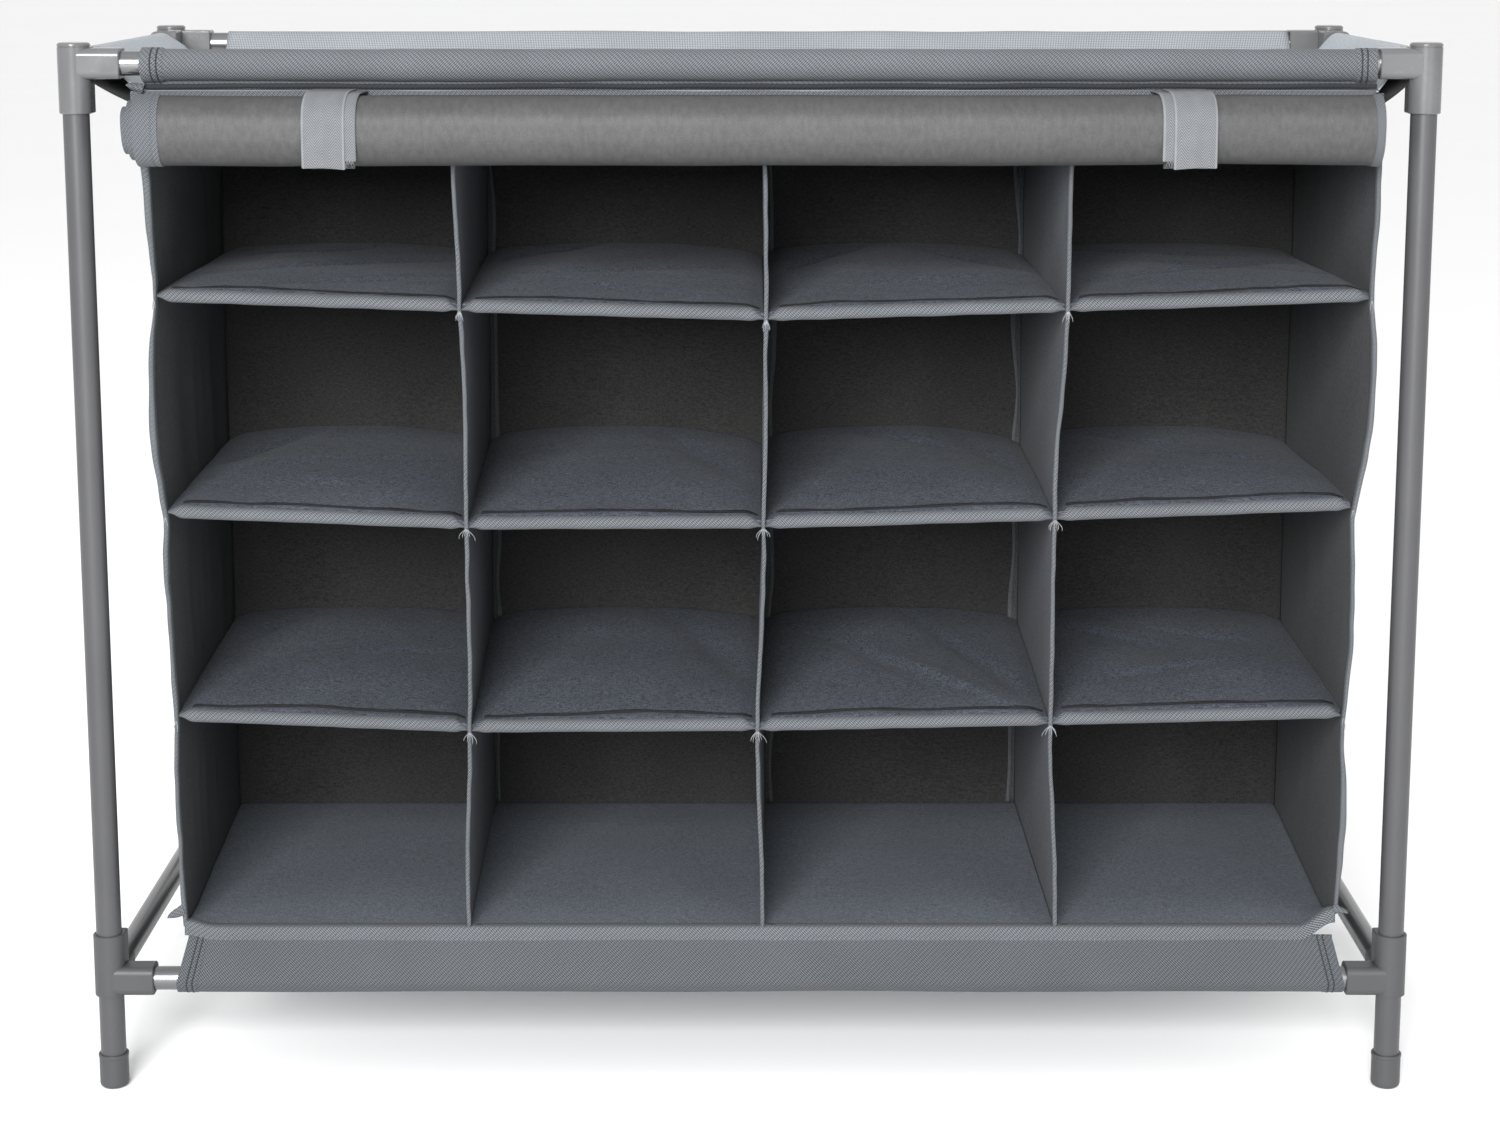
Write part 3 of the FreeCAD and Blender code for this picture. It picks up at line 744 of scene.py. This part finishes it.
def padPoint(row, column, s, away, w):
    bandY = frontY + shelfLook["bandDepth"]
    y = bandY + away
    t = away / (backY - 0.001 - bandY)
    left, right = shelfSpan(row, column, y)
    ends = smooth(min(s, 1 - s) * (right - left) / shelfLook["pinch"])
    half = mix(shelfLook["edge"], shelfLook["half"], ends)
    z = rowZ[row] + shelfLift(row, column, s, t) + (2 * w - 1) * half
    z += w * padTop(row, column, s, t)
    ridge = (0.0007 * (0.4 + noise.noise((s * 7 + column, row * 3.3, 2)))
             * math.exp(-((away - 0.0062) / 0.0016) ** 2))
    z += w * ends * (ridge - 0.0015 * math.exp(-((away - 0.0016) / 0.0014) ** 2))
    z -= w * ends * 0.0012 * math.exp(-((away - seamLine(row, column, s)) / 0.0016) ** 2)
    corner = shelfLook["fall"][row] * (1 if column == 1 else 0.6) / 1000
    z -= corner * smooth((s - 0.6) / 0.4) * smooth((t - 0.35) / 0.6)
    return mix(left, right, s), y, z


def buildPad(row, column):
    bm = cutBlock((38, 56, 3))
    run = backY - 0.001 - frontY - shelfLook["bandDepth"]
    for vert in bm.verts:
        s, t, w = (value + 0.5 for value in vert.co)
        vert.co = padPoint(row, column, s, run * t ** 1.6, w)
    name = "shelf-pad-row-%d-column-%d" % (row + 1, column + 1)
    pad = makePiece(name, bm, cabinetCloth, "frame", ["shelf_covers_row_" + rowNames[row]],
                    rounds=1, closed=True)
    return pad


def buildSeam(row, column, pad):
    # the dark sunken line of stitching across the front of the pad
    bm = clothGrid(1.0, 1.0, 70, 2)

    def place(u, v):
        s = mix(0.04, 0.985, u)
        wide = 0.0042 + 0.0022 * noise.noise((u * 9 + column * 3, row * 2.7, 9))
        x, y, z = padPoint(row, column, s, seamLine(row, column, s) + (v - 0.5) * wide, 1)
        return Vector((x, y, z + 0.0005))

    lay(bm, place)
    makePiece("shelf-seam-row-%d-column-%d" % (row + 1, column + 1), bm, stitchingAndShadeTwill,
              thickness=0.0003, parent=pad)


def buildBand(row, column, pad):
    # the twill that wraps the shelf's front edge, gathered to a point at each wall
    half = shelfLook["half"] + 0.0003
    arc = arcPoints((0, 0), 1, 125, -125, 14)
    walk, turn = follow(arc)
    length = turn * half
    width = 0.2
    bm = clothGrid(width, length, 84, 14)
    yCentre = frontY + 0.0046

    def place(u, v):
        s = u / width
        left, right = shelfSpan(row, column, frontY)
        x = mix(left - 0.0004, right + 0.0004, s)
        away = min(s, 1 - s) * (right - left)
        size = table([0.2, 0.3, 0.62, 1.0, 1.07, 1.02, 1.0], away / 0.0026)
        near = 1 - smooth(away / 0.011)
        point = walk(v / half)
        pucker = 1 + near * 0.22 * math.sin(v / length * 21 + row + column)
        lift = shelfLift(row, column, s, 0)
        wobble = noise.noise((x * 45, row * 3.3, column * 2.1)) * 0.00035
        drop = shelfLook["neck"][column if s < 0.5 else column + 1]
        z = rowZ[row] + lift + point.y * half * size * pucker - near * near * drop + wobble
        y = yCentre - point.x * half * (0.55 + 0.45 * size) + near * 0.0006
        return Vector((x, y, z))

    lay(bm, place)
    name = "shelf-band-row-%d-column-%d" % (row + 1, column + 1)
    makePiece(name, bm, twillCloth, thickness=0.0005, offset=1, rounds=1, parent=pad)


def buildThreads(row, pad):
    bm = bmesh.new()
    for wall in range(5):
        z = rowZ[row] + shelfLook["front"][row][wall] / 1000 - 0.0032
        root = Vector((wallX(wall, frontY, rowZ[row]), frontY - 0.0004, z))
        inner = wall in (1, 2, 3)
        threadTuft(bm, root, (0.5, 0.95, 0.8)[row] if inner else 0.35, 0.0072, 6 if inner else 2,
                   radius=0.0005)
    makePiece("seam-threads-row-" + rowNames[row], bm, threadYarn, closed=True, parent=pad)


def buildShelves():
    for row in range(3):
        pads = []
        for column in range(columnCount):
            pad = buildPad(row, column)
            buildBand(row, column, pad)
            buildSeam(row, column, pad)
            pads.append(pad)
        buildThreads(row, pads[0])


buildShelves()


def buildShelfBoards(row):
    # the card stiffeners, bowed with the shelves that hold them
    bm = bmesh.new()
    low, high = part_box("shelf_boards_row_" + rowNames[row])
    for column in range(columnCount):
        fresh = cutBlock((10, 8, 0))
        for vert in fresh.verts:
            s, t, w = (value + 0.5 for value in vert.co)
            y = mix(low.y, high.y - 0.001, t)
            left, right = shelfSpan(row, column, y)
            share = mix(0.1, 0.9, s)
            z = rowZ[row] + shelfLift(row, column, share, t) + (w - 0.5) * (high.z - low.z)
            vert.co = (mix(left, right, share), y, z)
        merge(bm, fresh)
    makePiece("shelf-boards-row-" + rowNames[row], bm, boardCard, "frame",
              ["shelf_boards_row_" + rowNames[row]], closed=True, sharp=40)


for row in range(3):
    buildShelfBoards(row)
print("shelves made")


# floor

floorLook = {"wrinkle": 0.0007, "hem": 0.0035}


def buildFloor():
    low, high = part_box("floor_panel")
    bm = cutBlock((110, 40, 3))
    for vert in bm.verts:
        s, t, w = (value + 0.5 for value in vert.co)
        t = t ** 1.2
        y = mix(low.y + 0.0004, high.y - 0.0006, t)
        left = wallX(0, y, floorZ) + clothHalf
        right = wallX(4, y, floorZ) - clothHalf
        x = mix(left, right, s)
        front = clamp((y - low.y) / floorLook["hem"])
        half = (high.z - low.z) / 2 * math.sqrt(1 - (1 - front) ** 2) if front < 1 else (high.z - low.z) / 2
        z = (low.z + high.z) / 2 + (2 * w - 1) * max(half, 0.0006)
        nearest = min(abs(x - wallMiddles[wall]) for wall in range(5))
        edge = smooth(nearest / 0.02) * smooth((1 - t) / 0.1)
        z += w * edge * (noise.noise((x * 13, y * 11, 4)) * 2 - 0.6) * floorLook["wrinkle"]
        z += w * 0.0016 * smooth(nearest / 0.06) * smooth(t / 0.2) * smooth((1 - t) / 0.3)
        z += riseAt(x, y) + noise.noise((x * 11, 4, 2)) * 0.0007 * (1 - smooth((y - low.y) / 0.03))
        vert.co = (x, y, z)
    # the floor's lighter cloth is painted light
    pad = makePiece("floor-pad", bm, paintedLightFloorCloth, "frame", ["floor_panel"], rounds=1,
                    closed=True)
    return pad


def buildFloorBand():
    # the twill that binds the floor's front edge, with a stitch line along it
    low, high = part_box("floor_panel")
    arc = [(0.006, 0.0006), (0.002, 0.0008), (0.0004, 0.0004), (-0.0006, -0.0008), (-0.0009, -0.0026)]
    arc += [(-0.0012, -0.0052), (-0.0013, -0.0084), (-0.0004, -0.0092), (0.0006, -0.0084)]
    walk, length = follow(arc)
    start = wallX(0, frontY, floorZ) - 0.0006
    width = wallX(4, frontY, floorZ) + 0.0006 - start
    bm = clothGrid(width, length, 300, 22, 0.04, 0.12)

    def place(u, v):
        point = walk(v)
        x = start + u
        wave = noise.noise((x * 7, 2, 5)) * 0.0009 + noise.noise((x * 31, 6, 5)) * 0.0003
        groove = 0.0005 * math.exp(-((point.y + 0.0062) / 0.0005) ** 2)
        swell = noise.noise((x * 60, point.y * 300, 3)) * 0.0002
        z = high.z + point.y + wave * smooth(-point.y / 0.004) + riseAt(x, frontY)
        return Vector((x, frontY + point.x + groove + swell, z))

    lay(bm, place)
    return makePiece("floor-band", bm, twillCloth, thickness=0.0006, parent=floorPad)


def buildTacks():
    # the dark bar stitch at each divider's foot
    bm = bmesh.new()
    for wall in (1, 2, 3):
        x = wallX(wall, frontY, floorZ)
        for step in range(4):
            root = Vector((x + 0.004 + step * 0.0009, frontY + 0.0036 - step * 0.0003, floorZ + 0.0009))
            threadTuft(bm, root, 0.3, 0.0026, 1, down=Vector((0.9, 0.25, 0.35)), radius=0.0003)
    makePiece("floor-tacks", bm, darkThread, closed=True, parent=floorPad)


floorPad = buildFloor()
buildFloorBand()
buildTacks()
print("floor made")


# sleeves round the rails

sleeveLook = {"cloth": 0.0009, "hem": 0.0132, "hemRise": 0.0008, "lines": (0.0068, 0.0106), "line": 0.0009,
              "groove": (0.0004, 0.0007)}
sleeveRadius = railRadius + 0.0008


def hemSwell(end):
    # how far a hem stands out at this distance from the sleeve's end, with a groove under each stitch line
    deep, wide = sleeveLook["groove"]
    rise = sleeveLook["hemRise"] * (1 - smooth((end - sleeveLook["hem"]) / 0.0012))
    return rise - deep * sum(math.exp(-((end - line) / wide) ** 2) for line in sleeveLook["lines"])


def buildStitchLines(name, place, width, length, parent):
    # two dark lines of stitching through the hem at each end of a sleeve
    bm = bmesh.new()
    for inset in sleeveLook["lines"]:
        for line in (inset, width - inset):
            fresh = clothGrid(sleeveLook["line"], length, 1, 110)
            lay(fresh, lambda u, v: place(line - sleeveLook["line"] / 2 + u, v))
            merge(bm, fresh)
    return makePiece(name, bm, stitchingAndShadeTwill, thickness=sleeveLook["cloth"] + 0.0007,
                     parent=parent)


def buildTopFrontSleeve():
    low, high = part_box("top_sleeve_front")
    low.x += 0.001
    start, width = low.x, high.x - low.x
    radius = sleeveRadius
    zTop = topRailZ + radius + 0.0001
    tall = radius + 0.0012
    zMiddle = zTop - tall
    # from the hem of the skirt, up and round the rail, and back down behind
    path = [(0.0006, roofZ + 0.0004), (0.0002, roofZ + 0.0032), (-0.0008, zMiddle - tall + 0.0004)]
    for step in range(29):
        angle = math.radians(mix(-96, -430, step / 28))
        path.append((radius * math.cos(angle), zMiddle + tall * math.sin(angle)))
    path += [(0.0014, zMiddle - tall - 0.001), (0.0022, roofZ + 0.0006)]
    walk, length = follow(path)
    bm = clothGrid(width, length, 240, 56, 0.018, 0.13)

    def place(u, v):
        point = walk(v)
        x = start + u
        end = min(u, width - u)
        outward = Vector((point.x, point.y - zMiddle)).normalized()
        ripple = noise.noise((x * 14, v * 60, 1)) * 0.00045 + noise.noise((x * 50, v * 30, 8)) * 0.0002
        swell = (hemSwell(end) + ripple) * smooth((point.y - roofZ - 0.003) / 0.004)
        skew = 0.0012 * math.sin(point.y * 150) * (1 - smooth(end / 0.02))
        return Vector((x + skew, frontY + point.x + outward.x * swell, point.y + outward.y * swell))

    lay(bm, place)
    cloth = makePiece("top-sleeve-front", bm, twillCloth, "frame", ["top_sleeve_front"],
                      sleeveLook["cloth"])
    lines = buildStitchLines("top-sleeve-stitching", place, width, length, cloth)
    return cloth


def buildPiping(name, xStart, xEnd, y, z, radius, parent, wave=0.0006):
    # a cord covered in twill along a seam, made very dark as painted shade under the sleeve
    bm = clothGrid(xEnd - xStart, math.tau * radius, 260, 10)

    def place(u, v):
        x = xStart + u
        angle = v / radius
        shift = noise.noise((x * 22, 2.5, z * 100)) * wave
        size = radius * (1 + 0.18 * noise.noise((x * 60, 7, 3)))
        return Vector((x, y + size * math.cos(angle), z + shift + size * math.sin(angle)))

    lay(bm, place)
    bmesh.ops.remove_doubles(bm, verts=bm.verts, dist=0.00002)
    rims = [e for e in bm.edges if e.is_boundary]
    bmesh.ops.holes_fill(bm, edges=rims, sides=12)
    return makePiece(name, bm, stitchingAndShadeTwill, closed=True, parent=parent, sharp=50)


def webPath(edge, centre, over, sleeve):
    # from the cabinet's edge, in a straight run to the rail, then round it
    span = Vector(centre) - Vector(edge)
    reach = math.sqrt(span.length_squared - sleeve * sleeve)
    angle = math.atan2(span.y, span.x) + over * math.asin(sleeve / span.length)
    touch = Vector(edge) + Vector((math.cos(angle), math.sin(angle))) * reach
    begin = math.degrees(math.atan2(touch.y - centre[1], touch.x - centre[0]))
    run = [Vector(edge).lerp(touch, step / 10) for step in range(10)]
    return run + arcPoints(centre, sleeve, begin, begin - over * 318, 30)


def buildSideSleeve(name, side):
    low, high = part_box("top_sleeve_" + name)
    edgeX = abs(low.x if side > 0 else high.x)
    path = webPath((edgeX, roofZ + 0.0004), (sideRailX, topRailZ), 1, sleeveRadius)
    walk, length = follow(path)
    yStart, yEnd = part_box("roof_panel")[0].y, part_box("roof_panel")[1].y
    ringStart, ringEnd = frontY + 0.0345, rearRailY - 0.0345
    bm = clothGrid(yEnd - yStart, length, 90, 46)

    def place(u, v):
        point = walk(v)
        out = clamp((point.x - edgeX) / (sideRailX - sleeveRadius - edgeX))
        share = u / (yEnd - yStart)
        y = mix(mix(yStart, ringStart, out), mix(yEnd, ringEnd, out), share)
        loose = math.sin(math.pi * clamp(out)) * 0.0018 + noise.noise((side * 4, y * 16, v * 30)) * 0.0008
        return Vector((side * point.x, y, point.y - loose * (1 if v < 0.03 else 0.3)))

    lay(bm, place)
    cloth = makePiece("top-sleeve-" + name, bm, sleeveCloth, "frame", ["top_sleeve_" + name],
                      sleeveLook["cloth"])
    lining = clothGrid(yEnd - yStart - 0.002, 1.0, 60, 12)
    inner, outer = Vector((edgeX + 0.0012, roofZ - 0.0102)), Vector((sideRailX - 0.0075, topRailZ - 0.0102))

    def behind(u, v):
        # the side cloth goes on up to the rail, outside the pale sleeve
        point = inner.lerp(outer, v)
        loose = math.sin(math.pi * v) * (0.0006 + noise.noise((side * 3, u * 20, 7)) * 0.0005)
        return Vector((side * (point.x + loose), yStart + 0.001 + u, point.y - loose))

    lay(lining, behind)
    dark = makePiece("top-sleeve-lining-" + name, lining, darkCloth, thickness=0.0004,
                     parent=cloth)
    return cloth


def buildRearSleeve(level, edgeZ, railZ, edgeGap, material, slack):
    name = level + "_sleeve_rear"
    low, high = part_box(name)
    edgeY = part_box("roof_panel")[1].y + edgeGap
    path = webPath((edgeY, edgeZ), (rearRailY, railZ), 1, sleeveRadius)
    walk, length = follow(path)
    width = high.x - low.x
    bm = clothGrid(width, length, 160, 46)

    def place(u, v):
        point = walk(v)
        x = low.x + u
        ripple = noise.noise((x * 14, v * 40, 6 + railZ)) * slack
        out = Vector((point.x - rearRailY, point.y - railZ)).normalized()
        return Vector((x, point.x + out.x * ripple, point.y + out.y * ripple))

    lay(bm, place)
    cloth = makePiece(name.replace("_", "-"), bm, material, "frame", [name],
                      sleeveLook["cloth"])
    return cloth


def buildApron():
    # from the floor's hem, down outside the front rail and round under it
    low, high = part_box("base_sleeve_front")
    start, width = low.x + 0.003, high.x - low.x - 0.004
    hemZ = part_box("floor_panel")[0].z
    run = webPath((0.0008, hemZ - 0.0004), (0.0, baseRailZ), 1, sleeveRadius)
    walk, length = follow([Vector((-0.0004, hemZ + 0.0022))] + run)
    bm = clothGrid(width, length, 240, 64, 0.018, 0.13)

    def place(u, v):
        point = walk(v)
        hem = hemSwell(min(u, width - u))
        ripple = noise.noise(((start + u) * 9, v * 25, 12)) * 0.0009
        ripple += noise.noise(((start + u) * 34, v * 20, 3)) * 0.0003
        sway = noise.noise(((start + u) * 8, 3, 9)) * 0.0006
        front = -point.x - (hem + ripple) * smooth(v / 0.008)
        above = clamp((point.y - baseRailZ) / (hemZ - baseRailZ))
        slant = 0.0075 * above * ((1 - smooth(u / 0.08)) - (1 - smooth((width - u) / 0.08)))
        return Vector((start + u + slant, frontY + front, point.y + sway * smooth(v / 0.02)))

    lay(bm, place)
    # the apron's darker twill is painted shade
    cloth = makePiece("base-sleeve-front", bm, shadedApronTwill, "frame", ["base_sleeve_front"],
                      sleeveLook["cloth"])
    lines = buildStitchLines("base-sleeve-stitching", place, width, length, cloth)
    return cloth


frontSleeve = buildTopFrontSleeve()
buildPiping("front-seam-piping", frontSleeve.data.vertices[0].co.x - 0.001, 0.4075, frontY - 0.0002,
            roofZ + 0.0027, 0.0018, frontSleeve)
buildSideSleeve("left", -1)
buildSideSleeve("right", 1)
buildRearSleeve("top", roofZ + 0.0004, topRailZ, 0.0002, paleTwill, 0.0008)
buildRearSleeve("base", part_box("floor_panel")[0].z - 0.0004, baseRailZ, 0.0011, twillCloth, 0.0006)
buildApron()
print("sleeves made")


# rolled cover

rollLook = {
    "axisY": -0.16155, "axisZ": 0.6603, "core": 0.0047, "step": 0.002, "halfTurns": 9, "flat": 0.0064,
    "left": -0.403, "right": 0.4065, "cloth": 0.0014,
    # the turns stand out one past the other at the left end: millimetres back for the outer one, and per turn
    "telescope": (12.1, 4.2),
    "binding": 0.0145,
}


def rollPath():
    low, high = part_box("front_cover")
    step, core, half = rollLook["step"], rollLook["core"], rollLook["flat"] / 2
    frontRadius = core + step * (rollLook["halfTurns"] - 2)
    frontZ = low.z + 0.0008 + frontRadius + half
    points = []
    marks = []
    for turn in range(rollLook["halfTurns"]):
        rear = turn % 2 == 0
        radius = core + step * turn
        marks.append(len(points))
        middle = frontZ + (step if rear else 0)
        angles = (-90, 0, 90) if rear else (90, 180, 270)
        for part in (0, 1):
            climb = (1 if part else -1) * (1 if rear else -1)
            if rear and turn == rollLook["halfTurns"] - 1 and part:
                points.append(Vector((rollLook["axisY"] + radius, roofZ - 0.012)))
                break
            centre = (rollLook["axisY"], middle + climb * half)
            points += arcPoints(centre, radius, angles[part], angles[part + 1], 9)
    return points, marks


def turnsLeft(distance, length, marks):
    # how many turns of the roll lie outside the point at this distance
    index = clamp(bisect.bisect_right(marks, distance) - 1, 0, len(marks) - 1)
    end = marks[index + 1] if index + 1 < len(marks) else length
    place = index + (distance - marks[index]) / max(end - marks[index], 1e-6)
    return (len(marks) - place) / 2


def endShift(turns):
    back, each = rollLook["telescope"]
    return max(0, back - each * turns) / 1000


def rightEnd(turns):
    # the outer turns end a little short of the inner ones on the right
    return rollLook["right"] - 0.002 * clamp(1 - turns / 3)


strapMiddles = [middleOf("hook_strap_" + side).x for side in ("left", "right")]


def strapPress(x):
    # how deep the two straps press into the roll
    return sum(math.exp(-((x - middle) / 0.02) ** 2) for middle in strapMiddles)


def rollPoint(x, distance, walk, length, lift=0.0):
    point = walk(distance)
    axis = Vector((rollLook["axisY"], rollLook["axisZ"]))
    out = (point - axis).normalized()
    outer = smooth((distance / length - 0.45) / 0.3) * smooth((length - distance) / 0.05)
    ripple = (noise.noise((x * 5, distance * 18, 2)) * 0.0011
              + noise.noise((x * 21, distance * 30, 7)) * 0.00035)
    ripple -= 0.0005 * strapPress(x)
    return Vector((x, point.x + out.x * (ripple * outer + lift), point.y + out.y * (ripple * outer + lift)))


def buildRoll():
    points, marks = rollPath()
    walk, length = follow(points)
    marks = [follow(points[:mark + 1])[1] if mark else 0.0 for mark in marks]
    left, right = rollLook["left"], rollLook["right"]
    bm = clothGrid(right - left, length, 150, 190)

    def place(u, v):
        share = u / (right - left)
        turns = turnsLeft(v, length, marks)
        return rollPoint(mix(left + endShift(turns), rightEnd(turns), share), v, walk, length)

    lay(bm, place)
    roll = makePiece("cover-roll", bm, coverFace, "cover", ["front_cover"], rollLook["cloth"])
    # the bound ends of the outer layers
    for name, wide in (("left", 0.0192), ("right", 0.0062)):
        shown = 0.34 if name == "left" else 0.2
        fresh = clothGrid(wide, shown, 56 if name == "left" else 18, 150)

        def bind(u, v, name=name, wide=wide, shown=shown):
            distance = length - 0.03 - shown + v
            turns = turnsLeft(distance, length, marks)
            if name == "left":
                begin = left + endShift(turns)
                inner = begin + rollLook["binding"]
                if turns <= 1:
                    inner = left + endShift(0.5) + 0.0148 + 0.0006 * math.sin(v * 24)
                x = mix(begin, inner, u / wide)
                fold = 0.0042 if turns <= 1 else 0.003
                line = inner - x
            else:
                finish = rightEnd(turns)
                x = mix(finish - wide - 0.001 * math.sin(v * 30), finish, u / wide)
                fold, line = 0.0014, x - (finish - wide)
            groove = 0.00055 * math.exp(-((line - fold) / 0.0006) ** 2)
            return rollPoint(x, distance, walk, length, 0.00105 - groove)

        lay(fresh, bind)
        makePiece("cover-binding-" + name, fresh, twillCloth,
                                  thickness=0.0007, parent=roll)
    return roll


def buildCurtain():
    # the cloth between the roof's front edge and the roll, which on the real cover pays out as the cover
    # comes down
    low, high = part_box("cover_top_band")
    top, bottom = roofZ - 0.0002, roofZ - 0.0165
    bm = clothGrid(high.x - low.x, top - bottom, 160, 80)

    def place(u, v):
        x = low.x + u
        z = bottom + v
        wave = noise.noise((x * 16, 4, z * 30)) * 0.0004
        return Vector((x, frontY - 0.0011 + wave, z + noise.noise((x * 22, 2.5, 68)) * 0.0004))

    lay(bm, place)
    curtain = makePiece("cover-curtain", bm, twillObject, None, ["cover_top_band"], 0.0011)
    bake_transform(curtain)


twillObject = twillOnObject("twillOnCurtain", dark=(0.0187, 0.021, 0.0243), light=(0.136, 0.1476, 0.1612))
buildRoll()
buildCurtain()
print("cover made")


# straps

strapLook = {"rollRadius": 0.01992, "width": 0.028, "cloth": 0.0013, "lean": 0.003, "slant": 0.0024}


def strapPath(offset, startY, endZ):
    low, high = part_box("hook_strap_left")
    centre = (rollLook["axisY"], high.z - 0.0015 - strapLook["rollRadius"])
    radius = strapLook["rollRadius"] + 0.0008 + offset
    run = [Vector((startY, centre[1] + radius)),
           Vector((mix(startY, centre[0], 0.5), centre[1] + radius + 0.0003))]
    arc = arcPoints(centre, radius, 90, 180, 14)
    return run + arc + [Vector((centre[0] - radius - 0.0002, mix(centre[1], endZ, 0.6))),
                        Vector((centre[0] - radius + 0.0004, endZ))]


def layStrap(name, side, middle, width, offset, endZ, shiftX, slant, slack=0.0):
    startY = frontY - 0.0022
    walk, length = follow(strapPath(offset, startY, endZ))
    bm = clothGrid(width, length, 12, 72)
    lean = strapLook["lean"] * side

    def place(u, v):
        point = walk(v)
        share = v / length
        x = middle + shiftX + u - width / 2 - lean * (1 - smooth(share / 0.55))
        drop = slant * (0.5 - u / width) * side * smooth((share - 0.6) / 0.4)
        cup = 0.0005 * (2 * u / width - 1) ** 2
        lift = noise.noise((x * 30, v * 40, side)) * 0.0003 + slack * math.sin(math.pi * share)
        return Vector((x, point.x + cup - lift, point.y - max(drop, 0) + min(drop, 0) * 0.3))

    lay(bm, place)
    strap = makePiece(name, bm, webbingTape, None, (), strapLook["cloth"], rounds=1)
    return strap, length


def buildStraps():
    for name, side in (("left", -1), ("right", 1)):
        low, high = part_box("hook_strap_" + name)
        middle = (low.x + high.x) / 2
        body = "strap_" + name
        strap, length = layStrap("hook-strap-" + name, side, middle, strapLook["width"], 0.0009, low.z, 0,
                                 strapLook["slant"])
        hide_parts("hook_strap_" + name)
        under, underLength = layStrap("under-strap-" + name, side, middle, 0.025, -0.0003, low.z + 0.004,
                                      -side * 0.0085, 0.0)
        for piece in (strap, under):
            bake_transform(piece)
        # thread ends below the under strap
        bm = bmesh.new()
        for index in range(12):
            x = middle - side * 0.0085 + mix(-0.009, 0.010, index / 11)
            root = Vector((x, -0.1815, low.z + 0.0042))
            threadTuft(bm, root, 0.5, 0.0042, 2, radius=0.00022)
        makePiece("strap-fringe-" + name, bm, threadYarn, body, closed=True)
        # loop strap behind the roll
        low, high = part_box("loop_strap_" + name)
        bm = clothGrid(strapLook["width"], high.z - low.z, 8, 24)
        lay(bm, lambda u, v: Vector((low.x + u, (low.y + high.y) / 2 + 0.0002 * math.sin(v * 200),
                                     low.z + v)))
        loop = makePiece("loop-strap-" + name, bm, webbingTape, "frame", ["loop_strap_" + name],
                         strapLook["cloth"])


buildStraps()
print("straps made")


# floor, lights and camera

stageLook = {"floor": (0.9, 0.9, 0.9), "world": 1.0}


def buildStage():
    bm = bmesh.new()
    bmesh.ops.create_grid(bm, x_segments=1, y_segments=1, size=30)
    material, tree, shader = startMaterial("stageFloor", 0.7, specular=0.2)
    broad = noiseAt(tree, mapped(tree, "Object"), 1.5, 2)
    colour = twoTone(tree, broad, stageLook["floor"], tuple(c + 0.01 for c in stageLook["floor"]))
    tree.links.new(colour, shader.inputs["Base Color"])
    floor = makePiece("stage-floor", bm, material)
    world = bpy.data.worlds.new("studio")
    scene.world = world
    world.use_nodes = True
    world.node_tree.nodes["Background"].inputs["Color"].default_value = (1, 1, 1, 1)
    world.node_tree.nodes["Background"].inputs["Strength"].default_value = stageLook["world"]
    scene.view_settings.view_transform = "Standard"


lightLook = {
    "key": {"at": (-0.7, -4.15, 1.88), "to": (0, 0, 0.34), "size": 1.7, "power": 350},
    "fill": {"at": (1.3, -2.3, 1.0), "to": (0, 0, 0.34), "size": 1.3, "power": 8},
    "top": {"at": (0, -0.35, 2.3), "to": (0, 0, 0.4), "size": 1.6, "power": 4},
}


def buildLights():
    for name, look in lightLook.items():
        light = bpy.data.lights.new(name, "AREA")
        light.size = look["size"]
        light.energy = look["power"]
        lamp = bpy.data.objects.new(name + "-light", light)
        scene.collection.objects.link(lamp)
        lamp.location = look["at"]
        lamp.rotation_euler = (Vector(look["to"]) - Vector(look["at"])).to_track_quat("-Z", "Y").to_euler()


cameraLook = {"lens": 67.0, "pitch": 9.62, "distance": 1.824, "height": 0.791, "shift": -0.11}


def buildCamera():
    data = bpy.data.cameras.new("view")
    data.lens = cameraLook["lens"]
    data.sensor_width = 36
    data.shift_y = cameraLook["shift"]
    camera = bpy.data.objects.new("camera", data)
    scene.collection.objects.link(camera)
    camera.location = (0, frontY - cameraLook["distance"], cameraLook["height"])
    camera.rotation_euler = (math.radians(90 - cameraLook["pitch"]), 0, 0)
    scene.camera = camera


buildStage()
buildLights()
buildCamera()
print("stage made")
